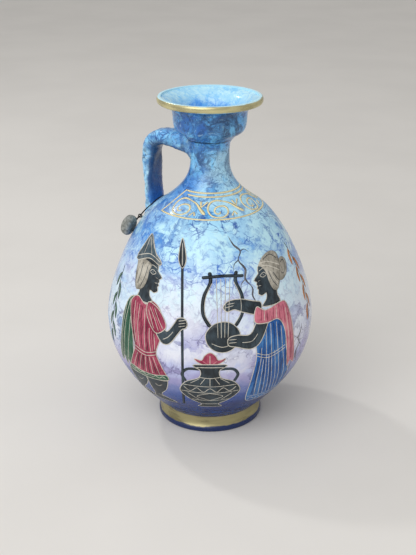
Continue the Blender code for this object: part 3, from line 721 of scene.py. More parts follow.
class Painting:
    """A picture laid on the body as thin relief, from flat shapes in millimetres round a middle."""

    # Heights over the glaze of the lowest patch, each layer, a line's ridge, its edges and the underside
    ground, layer_step, ridge, dip, sunk = 0.06, 0.09, 0.05, -0.03, -0.05
    spacing = 2.6

    def __init__(self, middle, height):
        self.work, self.tints, self.middle = bmesh.new(), [], middle
        self.outline = body_outline()
        self.reach = [0.0]
        for lower, upper in zip(self.outline, self.outline[1:]):
            self.reach.append(self.reach[-1] + (upper - lower).length)
        self.start = 0.0
        self.start = self.rise(height) / 1000

    def rise(self, height):
        """The way up the slope from the picture's own height to another, in millimetres."""
        index = next(i for i, point in enumerate(self.outline) if point.y >= height)
        lower, upper = self.outline[index - 1], self.outline[index]
        part = (height - lower.y) / (upper.y - lower.y)
        reach = self.reach[index - 1] + part * (self.reach[index] - self.reach[index - 1])
        return (reach - self.start) * 1000

    def station(self, rise):
        """The outline's point and its way out at a rise up the slope, in millimetres."""
        reach = self.start + rise / 1000
        index = min(max(bisect.bisect(self.reach, reach), 1), len(self.reach) - 1)
        lower, upper = self.outline[index - 1], self.outline[index]
        along = (upper - lower).normalized()
        return lower + along * (reach - self.reach[index - 1]), Vector((along.y, -along.x))

    def vert(self, flat, lift):
        point, out = self.station(flat[1])
        angle = self.middle + flat[0] / 1000 / point.x
        radius, height = point + out * lift / 1000
        return self.work.verts.new((radius * math.cos(angle), radius * math.sin(angle), height))

    def face(self, verts, tint):
        if tint not in self.tints:
            self.tints.append(tint)
        self.work.faces.new(verts).material_index = self.tints.index(tint)

    def top(self, layer):
        return self.ground + self.layer_step * layer

    def patch(self, tint, layer, points, edged=0.64):
        """A filled shape, with a line along its edge."""
        edge, spacing = smooth(points, True), self.spacing
        low = [min(point[axis] for point in edge) for axis in (0, 1)]
        high = [max(point[axis] for point in edge) for axis in (0, 1)]
        count = [int((b - a) / spacing) + 1 for a, b in zip(low, high)]
        steps = [(i, j) for i in range(count[0]) for j in range(count[1])]
        grid = [Vector((low[0] + spacing * i, low[1] + spacing * j)) for i, j in steps]
        inner = [p for p in grid if inside(p, edge) and min((p - q).length for q in edge) > spacing * 0.35]
        flat, _, faces, *_ = geometry.delaunay_2d_cdt(edge + inner, [], [list(range(len(edge)))], 1, 1e-6)
        tops = [self.vert(point, self.top(layer)) for point in flat]
        bottoms = [self.vert(point, self.sunk) for point in flat]
        sides = set()
        for corners in faces:
            self.face([tops[i] for i in corners], tint)
            self.face([bottoms[i] for i in reversed(corners)], tint)
            sides.update(zip(corners, [*corners[1:], corners[0]]))
        for a, b in sides:
            if (b, a) not in sides:
                self.face([tops[b], tops[a], bottoms[a], bottoms[b]], tint)
        if edged:
            self.stroke("cream", layer, edged, points, True)

    def stroke(self, tint, layer, width, points, closed=False, swell=None):
        """A drawn line, rounded over its width; swell gives the width's share along it."""
        line = smooth(points, closed)
        level, rows, last = self.top(layer), [], len(line) - 1
        for index, point in enumerate(line):
            before = line[index - 1] if closed else line[max(index - 1, 0)]
            after = line[(index + 1) % len(line)] if closed else line[min(index + 1, last)]
            along = (after - before).normalized()
            half = width / 2
            if swell:
                half *= swell(index / last)
            elif not closed and index in (0, last):
                half *= 0.5
            across = Vector((-along.y, along.x)) * half
            left, right = (self.vert(point + side, level + self.dip) for side in (across, -across))
            rows.append([left, self.vert(point, level + self.ridge), right])
        for near, far in zip(rows, [*rows[1:], rows[0]] if closed else rows[1:]):
            for side in range(3):
                self.face([near[side - 1], near[side], far[side], far[side - 1]], tint)
        if not closed:
            self.face(list(reversed(rows[0])), tint)
            self.face(rows[-1], tint)

    def folds(self, tint, layer, width, guides, parts):
        """Lines across a set of guides, each at one share of the way along all of them."""
        for part in parts:
            self.stroke(tint, layer, width, [at(guide, part) for guide in guides])

    def zigzag(self, tint, layer, width, first, second, count):
        """A line that goes to and fro between two guides, by its number of corners."""
        guides = (first, second)
        self.stroke(tint, layer, width, [at(guides[step % 2], step / (count - 1)) for step in range(count)])

    def finish(self, name, slot, materials):
        """Links the picture as one piece; materials gives each tint's material."""
        add_piece(name, mesh_from(name, self.work), [materials(tint) for tint in self.tints], slot)


# Operators

class JUG_OT_glazed_body(bpy.types.Operator):
    """Turns the glazed body, neck and mouth cup as one skin"""

    bl_idname = "jug.glazed_body"
    bl_label = "Glazed body"

    # Heights, each with a tint or a mixture of tints by their shares
    # The black in the lowest rows darkens the body towards the foot: its navy glaze, and partly painted
    # shade
    ground = (
        (0.026, "navy", "black", 0.5), (0.035, "navy", "cobalt", 0.4, "black", 0.35),
        (0.044, "violet", "navy", 0.35), (0.053, "violet", "lilac", 0.5), (0.062, "lilac"),
        (0.077, "mist"), (0.108, "mist", "white", 0.4), (0.125, "mist", "sky", 0.5), (0.142, "sky"),
        (0.168, "sky", "azure", 0.3), (0.184, "azure"), (0.196, "cobalt"), (0.206, "cobalt", "deep", 0.4),
    )
    patch = (
        (0.026, "navy", "black", 0.6), (0.037, "navy", "violet", 0.25), (0.047, "violet", "lilac", 0.45),
        (0.055, "lilac"), (0.062, "mist"), (0.071, "white"), (0.115, "white", "ice", 0.6), (0.135, "ice"),
        (0.170, "ice", "sky", 0.2), (0.186, "sky"), (0.200, "sky", "azure", 0.6),
    )
    veins = (
        (0.024, "navy", "black", 0.5), (0.042, "inky"), (0.085, "inky"), (0.102, "inky", "lilac", 0.4),
        (0.125, "vein", "azure", 0.2), (0.150, "vein", "storm", 0.45), (0.185, "storm"),
        (0.206, "storm", "black", 0.15),
    )
    # Inside the mouth the tints darken from the lip down to the throat: partly the glaze, partly painted
    # shade
    mouth_ground = (
        (0.160, "deep"), (0.204, "cobalt"), (0.2095, "azure"), (0.2125, "sky", "ice", 0.6), (0.2165, "ice")
    )
    mouth_patch = (0.160, "cobalt"), (0.204, "azure"), (0.2085, "sky", "ice", 0.4), (0.212, "ice")
    mouth_veins = (0.160, "deep"), (0.203, "vein"), (0.209, "azure"), (0.214, "sky", "ice", 0.3)
    # Angle from the handle in degrees, height, size, tint and share
    pools = (
        (40, 0.152, 0.034, "royal", 0.8), (350, 0.150, 0.034, "royal", 0.8),
        (70, 0.172, 0.016, "royal", 0.7), (300, 0.150, 0.028, "royal", 0.6),
        (98, 0.137, 0.024, "ice", 0.7), (168, 0.118, 0.036, "ice", 0.7), (150, 0.140, 0.018, "royal", 0.6),
        (118, 0.085, 0.020, "lilac", 0.6), (172, 0.060, 0.026, "lilac", 0.5),
        (84, 0.055, 0.020, "lilac", 0.5), (130, 0.062, 0.020, "white", 0.7),
        (105, 0.100, 0.020, "white", 0.7), (235, 0.080, 0.036, "lilac", 0.5),
        (280, 0.105, 0.030, "ice", 0.6), (215, 0.125, 0.030, "royal", 0.5),
        (330, 0.075, 0.036, "lilac", 0.45), (104, 0.178, 0.014, "deep", 0.5),
        (160, 0.176, 0.016, "ice", 0.7), (260, 0.178, 0.014, "deep", 0.5),
        # The slate pools at 150 and 160 degrees grey and darken the cup's right side: partly its glaze,
        # partly painted shade
        (160, 0.198, 0.016, "slate", 0.6), (300, 0.197, 0.016, "slate", 0.5),
        (48, 0.088, 0.038, "sky", 0.6), (75, 0.178, 0.012, "royal", 0.8), (83, 0.154, 0.014, "ice", 0.7),
        (175, 0.153, 0.014, "ice", 0.7), (65, 0.144, 0.022, "royal", 0.85),
        (172, 0.140, 0.018, "ice", 0.6), (150, 0.205, 0.016, "slate", 0.7),
    )
    washes = (
        (50, 0.161, 0.020, "royal", 0.75), (64, 0.169, 0.013, "royal", 0.7),
        (52, 0.147, 0.014, "royal", 0.5)
    )
    # Angle, height and size
    nets = (
        (188, 0.064, 0.034), (58, 0.078, 0.028), (122, 0.086, 0.018), (92, 0.058, 0.016),
        (262, 0.072, 0.030), (325, 0.060, 0.028),
    )
    # The painted crease shade sits a little above the cup's joint
    ring_height, seam_rise, clearance = 0.0120, 0.0024, 0.0003

    def execute(self, context):
        jug = context.scene.jug_shape
        boss = jug.foot_radius - jug.foot_ring - self.clearance
        under = [(0, jug.recess), (boss, jug.recess), (boss, jug.foot_height)]
        lip = [(jug.lip_radius + LIP_EDGE, jug.seat_height), (jug.lip_radius, jug.seat_height)]
        lip.append((jug.lip_radius, jug.seat_height + LIP_RISE))
        skin = under + outside_outline() + lip
        outer = marbled_glaze(
            "marbled_glaze", self.ground, self.patch, self.veins, self.pools, self.washes, self.nets,
            ring=self.ring_height, joint=jug.joint_height + self.seam_rise,
        )
        inner = marbled_glaze("mouth_glaze", self.mouth_ground, self.mouth_patch, self.mouth_veins)
        mesh = turned("glazed_body", skin + mouth_outline() + hollow_outline(), len(skin) - 1)
        nodes = ("lower_body", "upper_body", "neck", "mouth_cup")
        add_piece("glazed_body", mesh, [outer, inner], BODY_SLOT, nodes)
        return {"FINISHED"}


class JUG_OT_gilded_foot(bpy.types.Operator):
    """Turns the foot: a blue bottom edge under a gilded cove"""

    bl_idname = "jug.gilded_foot"
    bl_label = "Gilded foot"

    rounding, rounding_steps, metal = 0.0014, 6, 0.6
    cove_leans = math.radians(-40), math.radians(-4)

    def execute(self, context):
        jug, rounding = context.scene.jug_shape, self.rounding
        inner, corner = jug.foot_radius - jug.foot_ring, jug.foot_radius - rounding
        outline = [(inner, jug.foot_height), (inner, rounding / 2), (inner + rounding / 2, 0)]
        for step in range(self.rounding_steps + 1):
            turn = math.pi / 2 * (step / self.rounding_steps - 1)
            outline.append((corner + rounding * math.cos(turn), rounding + rounding * math.sin(turn)))
        edge, top = (jug.foot_radius, jug.foot_edge), (jug.foot_waist, jug.foot_height)
        outline += curve(edge, self.cove_leans[0], top, self.cove_leans[1], (0.35, 0.45), 12)
        bright, under = context.scene.jug_gold.foot, context.scene.jug_glaze.ink
        gold = gold_lustre("foot_gold", bright, self.metal, under, jug.foot_edge)
        add_piece("gilded_foot", turned("gilded_foot", outline), [gold], "gilded_foot", ("foot_ring",))
        return {"FINISHED"}


class JUG_OT_gilded_rim(bpy.types.Operator):
    """Turns the gilded bead round the lip"""

    bl_idname = "jug.gilded_rim"
    bl_label = "Gilded rim"

    # The bead's overlap inside and under the lip, its round steps, and where the gold ends on its crown
    lap, drop, steps, gold_share = 0.0002, 0.0006, 20, 0.62
    # The flat share of the bead's width, how full its round is, and the dip of its crown at the mouth
    flat, fullness, dip, metal = 0.3, 0.85, 0.04, 0.6

    def execute(self, context):
        jug, rim = context.scene.jug_shape, context.scene.jug_rim
        inner, low = jug.lip_radius - self.lap, jug.seat_height - self.drop
        high = jug.seat_height + rim.gap + rim.height
        middle, half = (low + high) / 2, (high - low) / 2
        start = jug.lip_radius + rim.gap
        outline = [(inner, jug.seat_height)]
        for step in range(self.steps + 1):
            turn = math.pi * (step / self.steps - 0.5)
            reach = self.flat + (1 - self.flat) * math.cos(turn) ** self.fullness
            outline.append((start + rim.width * reach, middle + half * math.sin(turn)))
        outline.append((inner, high - half * self.dip))
        gold = gold_lustre(
            "rim_gold", context.scene.jug_gold.rim, self.metal, context.scene.jug_glaze.ice,
            inner_reach=start + rim.width * self.gold_share,
        )
        add_piece("gilded_rim", turned("gilded_rim", outline), [gold], "gilded_rim", ("rim_bead",))
        return {"FINISHED"}


class JUG_OT_strap_handle(bpy.types.Operator):
    """Pulls the strap handle from the neck to the shoulder, with luted ends"""

    bl_idname = "jug.strap_handle"
    bl_label = "Strap handle"

    # Share of the length, width and thickness
    stations = (
        (0.0, 0.0165, 0.0145), (0.2, 0.0148, 0.0108), (0.45, 0.0148, 0.0108), (0.66, 0.0175, 0.0068),
        (0.84, 0.0175, 0.0068), (1.0, 0.0185, 0.009),
    )
    # Sides of the section, how square and how hollow it is, and the depth of the fillet's edge in the body
    sides, squareness, hollowing, tucked = 40, 0.72, 0.12, 0.0003
    root_lean, foot_half, lowest_foot = math.radians(76), 0.0045, 0.1
    # Depth in the body at which the spread clay ends, and the scale and share of each set of finger marks
    spread_depth, finger_marks = 0.0016, ((130, 1), (420, 0.3))
    # The ground and patch turn paler near the bend, about 0.178 to 0.180: partly the glaze, partly a
    # painted highlight
    ground = (0.140, "azure"), (0.178, "azure", "sky", 0.4), (0.188, "azure", "cobalt", 0.3)
    patch = (0.140, "sky", "ice", 0.5), (0.180, "ice"), (0.189, "sky", "ice", 0.2)
    veins = (0.140, "storm"), (0.180, "storm"), (0.189, "storm", "vein", 0.4)
    # Tints of the painted shade on the strap's faces that turn in and down
    painted_inner_shade = (0.146, "cobalt"), (0.158, "deep", "storm", 0.5), (0.180, "storm", "black", 0.1)

    def line(self, context):
        """The strap's centre line as (reach, height) points."""
        jug, grip = context.scene.jug_shape, context.scene.jug_handle
        arm_height = jug.joint_height - grip.arm_drop
        root = (jug.neck_radius - grip.bite, jug.joint_height - grip.root_drop)
        arm_end, drop = (grip.reach - grip.bend, arm_height), (grip.reach, arm_height - grip.bend)
        slope = [point for point in body_outline() if point.y > self.lowest_foot]
        landing = min(point.y for point in slope if point.x <= grip.foot_reach + self.foot_half)
        level, down = math.pi / 2, math.pi
        foot = (grip.foot_reach, landing - grip.bite)
        return (
            curve(root, self.root_lean, arm_end, level, (0.3, 0.35), 44)
            + curve(arm_end, level, drop, down, (0.42, 0.42), 24)[1:]
            + curve(drop, down, foot, down, (0.35, 0.4), 60)[1:]
        )

    def size(self, part):
        """The strap's width and thickness at a share of its length."""
        for near, far in zip(self.stations, self.stations[1:]):
            if part <= far[0]:
                blend = (part - near[0]) / (far[0] - near[0])
                blend = blend * blend * (3 - 2 * blend)
                return [a + (b - a) * blend for a, b in zip(near[1:], far[1:])]
        return self.stations[-1][1:]

    def section(self, size):
        """The strap's section as (across, out) points: squarer than an ellipse, and hollow underneath."""
        for side in range(self.sides):
            turn = math.tau * side / self.sides
            parts = math.cos(turn), math.sin(turn)
            flat, rise = (math.copysign(abs(part) ** self.squareness, part) for part in parts)
            if rise < 0:
                rise *= 1 - self.hollowing * (1 - flat * flat)
            yield flat * size[0] / 2, rise * size[1] / 2

    def luted(self, place, arm, outline, grip):
        """A point of the strap with finger marks, spread over the body near the handle's ends."""
        depth = math.hypot(place.x, place.y) - radius_at(outline, place.z)
        near = min(max(1 - depth / grip.fillet, 0.0), 1.0)
        fade = max(0.0, 1 + min(depth, 0) / self.spread_depth)
        spread = grip.fillet * (1 - math.sqrt(1 - near * near)) * fade
        marks = sum(noise.noise(place * scale) * part for scale, part in self.finger_marks)
        place = place + arm.normalized() * (spread + marks * grip.unevenness)
        close = radius_at(outline, place.z) + depth - self.tucked * near
        if near > 0 and close > 0:
            hug = 1 + (close / math.hypot(place.x, place.y) - 1) * near
            place.x, place.y = place.x * hug, place.y * hug
        return place

    def execute(self, context):
        line, outline = self.line(context), outside_outline()
        lengths = [0.0]
        for near, far in zip(line, line[1:]):
            lengths.append(lengths[-1] + (far - near).length)
        work, rings = bmesh.new(), []
        for index, centre in enumerate(line):
            before, after = line[max(index - 1, 0)], line[min(index + 1, len(line) - 1)]
            along = (after - before).normalized()
            ring = []
            for flat, rise in self.section(self.size(lengths[index] / lengths[-1])):
                arm = Vector((along.y * rise, flat, along.x * rise))
                place = Vector((-centre.x, 0, centre.y)) + arm
                ring.append(work.verts.new(self.luted(place, arm, outline, context.scene.jug_handle)))
            rings.append(ring)
        for near, far in zip(rings, rings[1:]):
            bridge(work, near, far)
        work.faces.new(list(reversed(rings[0])))
        work.faces.new(rings[-1])
        glaze = marbled_glaze(
            "handle_glaze", self.ground, self.patch, self.veins, hollow=self.painted_inner_shade, lumps=0.3
        )
        mesh = mesh_from("strap_handle", work)
        mesh.set_sharp_from_angle(angle=math.radians(50))
        add_piece("strap_handle", mesh, [glaze], "handle_glaze", ("handle",))
        return {"FINISHED"}


# Pictures, in millimetres from the front meridian and from the belly's widest line

# Widths of lines and folds, and shares of the way along their guides
HAIRLINE, FINE, LINE, BOLD, SOFT, FOLD = 0.42, 0.5, 0.6, 0.75, 0.9, 1.05
QUARTERS, BETWEEN = (0, 0.25, 0.5, 0.75, 1), (0.125, 0.375, 0.625, 0.875)

# A head that looks along +x, from a point between the ear and the nose
HEAD = (
    (5.3, 8.5), (6.2, 5), (5.8, 3.6), (9, -0.2), (6.8, -1.6), (7.2, -3), (6.2, -4), (6.8, -5.2),
    (5.7, -6.3), (5.9, -8.7), (3, -10.3), (0, -9.3), (0, -12.8), (2.5, -17), (-11, -17), (-9, -11),
    (-10, -0.5), (-9, 8), (-1.5, 11),
)
FEATURES = (
    (FINE, ((-0.7, 1.9), (1.6, 3.5), (4.3, 1.9), (1.6, 0.6), (-0.7, 1.9))),
    (LINE, ((-1.3, 4.8), (1.6, 6.1), (5.1, 4.8))),
    (FINE, ((3.5, -4.1), (5.7, -4))),
    (BOLD, ((1.4, 2), (2.2, 2))),
    (FINE, ((4.3, -0.8), (5.7, -1.2))),
)


def face_lines(*place):
    """Strokes of a face at a head's place."""
    return [("cream", 0, width, placed(line, *place)) for width, line in FEATURES]


def pair(tint, layer, width, line, middle=0):
    """Two strokes: a line at the right of a middle, and its mirrored one."""
    return [(tint, layer, width, placed(line, middle, 0, side)) for side in (1, -1)]


def paint_picture(name, patches, folds, strokes, zigzags):
    """Paints a picture on the front from rows of what the painting's own calls take."""
    picture = Painting(FRONT, settings("jug_shape").belly_height)
    draws = picture.patch, picture.folds, picture.stroke, picture.zigzag
    for draw, rows in zip(draws, (patches, folds, strokes, zigzags)):
        for row in rows:
            draw(*row)
    picture.finish(name, BODY_SLOT, pigments())


class JUG_OT_spear_bearer(bpy.types.Operator):
    """Paints the cloaked youth with a spear"""

    bl_idname = "jug.spear_bearer"
    bl_label = "Spear bearer"

    head, stride, spear = (-40, 44, 1), -15.5, -17.2
    leg = (
        (-29, -22), (-28.5, -33.5), (-33, -43.5), (-26, -48), (-22.5, -51.5), (-38, -51.5), (-39, -43.5),
        (-42, -33.5), (-44, -22),
    )
    knee, ankle = ((-31.7, -30.3), (-34.7, -32.8), (-37.2, -31)), ((-36, -44.7), (-31, -46.6))
    cloak = (
        (-48, 28), (-57, 26.5), (-63.5, 16.5), (-66.5, 2), (-69, -16.5), (-66.5, -21), (-65, -16),
        (-62, -23), (-60.5, -17.5), (-57, -24), (-54, -6.5), (-54, 12.5), (-46.5, 23),
    )
    cloak_guides = (
        ((-56.5, 14.5), (-57, 25), (-60.5, 23)), ((-58, 2), (-61.5, 10.5), (-64.5, 6)),
        ((-60.5, -16.5), (-65, -15.5), (-67, -16.5)),
    )
    tunic = (
        (-37.5, 28.5), (-32, 24.5), (-30.5, 16.5), (-32, 6), (-35, -4), (-31.5, -13), (-27, -24),
        (-36.5, -26), (-48, -26), (-58.5, -24), (-55.5, -13), (-52.5, -4), (-55, 8.5), (-56.5, 18.5),
        (-56, 25), (-50, 29), (-43.5, 25.5),
    )
    chest_guides = (
        ((-36.5, 8.5), (-40, 11.5), (-43.5, 23), (-48, 24.5), (-52, 25.5), (-56, 20)),
        ((-36, 2), (-40, 4), (-44, 8.5), (-49.5, 10.5), (-53, 12.5), (-55.5, 9)),
        ((-36, -2.5), (-39, -4), (-43.5, -4), (-48, -3.5), (-51, -1), (-53, -1.5)),
    )
    belt = ((-35, -3), (-43.5, -5.5), (-52.5, -3))
    skirt_guides = (
        ((-37.5, -7.5), (-43.5, -8.5), (-50, -7.5)), ((-35, -14.5), (-43.5, -14.5), (-52.5, -14)),
        ((-33, -20.5), (-43.5, -21.5), (-54.5, -20)),
    )
    hem = (
        (-27, -24), (-36.5, -26), (-48, -26), (-58.5, -24), (-57.5, -20), (-48, -22), (-37, -22),
        (-28.5, -20)
    )
    hem_guides = ((-28.5, -23), (-42, -25), (-57.5, -23)), ((-28.5, -21.5), (-43, -23), (-57.5, -21))
    hair = (
        (-40, 50.5), (-41.5, 45.5), (-43, 39.5), (-46.5, 34.5), (-52.5, 32.5), (-54, 38.5), (-53.5, 45.5),
        (-51.5, 52),
    )
    hair_guides = ((-42.5, 49), (-49.5, 50)), ((-45, 41.5), (-51, 43.5)), ((-49, 34.5), (-53, 36.5))
    cap = (
        (-33, 51), (-41.5, 53.5), (-53.5, 49.5), (-54.5, 52), (-50.5, 57.5), (-44.5, 65.5), (-42, 68),
        (-40, 66), (-36.5, 58), (-32, 53.5),
    )
    cap_guides = (
        ((-35.5, 55.5), (-40, 56), (-47.5, 55)), ((-38, 60.5), (-41, 61.5), (-45, 60.5)),
        ((-40.5, 65.5), (-42, 66.5), (-43, 66)),
    )
    arm = (
        (-38, 17), (-32.5, 6), (-28.5, 3.5), (-24.5, 5.5), (-18, 14), (-15, 15.5), (-14, 18.5),
        (-16, 21.5), (-20, 21), (-22, 18), (-27.5, 12), (-31, 19.5),
    )
    fingers = ((-19.5, 16), (-19.5, 19.5)), ((-15, 17), (-15, 20.5))
    sleeve = ((-40.5, 27.5), (-34, 25.5), (-29.5, 20), (-28, 14), (-34.5, 9.5), (-39.5, 14.5), (-42, 21))
    sleeve_guides = (
        ((-40.5, 23), (-39.5, 25), (-38, 25.5), (-36, 25)),
        ((-38.5, 17.5), (-36, 18.5), (-34.5, 18.5), (-33, 18.5)),
        ((-36.5, 12), (-33, 11), (-31.5, 12), (-30, 13)),
    )
    patches = (
        ("green", 0, cloak), ("black", 0, leg), ("black", 0, placed(leg, stride)),
        ("black", 0, placed(HEAD, *head)), ("red", 1, tunic), ("green", 2, hem), ("grey", 1, hair, 0),
        ("slate", 2, cap), ("black", 2, arm), ("red", 3, sleeve),
        ("black", 1, ((spear, 52), (spear + 2.5, 58), (spear, 70.5), (spear - 2.5, 58))),
    )
    folds = (
        ("cream", 0, FINE, cloak_guides, (0, 0.5, 1)), ("pine", 0, SOFT, cloak_guides, (0.25, 0.75)),
        ("cream", 1, FINE, chest_guides, (0, 0.2, 0.4, 0.6, 0.8)),
        ("wine", 1, FOLD, chest_guides, (0.3, 0.5, 0.9)), ("pink", 1, SOFT, chest_guides, (0.1, 0.7)),
        ("cream", 1, FINE, skirt_guides, QUARTERS), ("wine", 1, FOLD, skirt_guides, BETWEEN),
        ("black", 1, LINE, hair_guides, (0, 0.66)), ("cream", 1, FINE, hair_guides, (0.33, 1)),
        ("cream", 2, FINE, cap_guides, (0, 0.5, 1)), ("cream", 2, FINE, fingers, (0, 0.5, 1)),
        ("cream", 3, FINE, sleeve_guides, (0, 0.33, 1)), ("pink", 3, BOLD, sleeve_guides, (0.66,)),
    )
    strokes = (
        *face_lines(*head), ("cream", 0, FINE, knee), ("cream", 0, FINE, placed(knee, stride)),
        ("cream", 0, FINE, ankle), ("cream", 0, FINE, placed(ankle, stride)), ("cream", 1, LINE, belt),
        ("cream", 1, LINE, placed(belt, 0, -2.2)),
        ("cream", 2, LINE, ((-32.5, 53), (-41.5, 56), (-54, 52))),
        ("cream", 2, FINE, ((-30, 6.5), (-26.5, 8.5), (-23, 12.5))),
        ("black", 0, 1.7, ((spear, -50.5), (spear, 53))),
        ("cream", 1, LINE, ((spear, 53.5), (spear, 67.5))),
    )
    zigzags = (("cream", 2, FINE, *hem_guides, 12),)

    def execute(self, context):
        paint_picture("spear_bearer", self.patches, self.folds, self.strokes, self.zigzags)
        return {"FINISHED"}


class JUG_OT_painted_pot(bpy.types.Operator):
    """Paints the tall pot with a flower between the two figures"""

    bl_idname = "jug.painted_pot"
    bl_label = "Painted pot"

    # Right halves, from the pot's own middle
    pot = (
        (7, -51.5), (5.3, -47.5), (12.3, -41.5), (18.5, -33.5), (18.7, -28), (14.8, -22), (7, -18),
        (6, -12.3), (9.5, -9.8), (9.5, -8),
    )
    flower = ((2, -8.5), (7.5, -6.4), (9.7, -3.7), (5.2, -4.7), (3.4, -1.6), (0, 0.6))
    handle = ((6.4, -11.4), (14.2, -11.7), (17.6, -16.2), (15.2, -22))
    leaves = ((0, -33.5), (8.2, -37), (0, -42.3)), ((14.2, -33.5), (9.6, -38.5), (7, -41.3))
    # Half width, height and sag of the lines round the pot
    bands = (
        (17.4, -25, 1.3), (18.4, -31.7, 1.5), (11.7, -41.3, 1.2), (5.6, -47.5, 0), (7, -17.7, 0.9),
        (8.5, -10, 0)
    )
    teeth = ((-16.7, -27), (0, -28.2), (16.7, -27)), ((-16.7, -30.8), (0, -32.4), (16.7, -30.8))
    rays = ((-6.4, -18.7), (0, -18.9), (6.4, -18.7)), ((-12.4, -23.3), (0, -25.4), (12.4, -23.3))
    patches = ("red", 0, mirrored(flower)), ("black", 1, mirrored(pot))
    folds = (("cream", 1, FINE, rays, QUARTERS),)
    strokes = (
        ("cream", 0, FINE, ((0, -8), (0, -1.5))), *pair("pink", 0, BOLD, ((1.1, -8), (4.6, -5.2))),
        *pair("black", 0, 2, handle), *pair("cream", 1, FINE, leaves[0]),
        *pair("cream", 1, FINE, leaves[1]),
        *[("cream", 1, LINE, ((-half, rise), (0, rise - sag), (half, rise))) for half, rise, sag in bands],
    )
    zigzags = (("cream", 1, LINE, *teeth, 9),)

    def execute(self, context):
        paint_picture("painted_pot", self.patches, self.folds, self.strokes, self.zigzags)
        return {"FINISHED"}


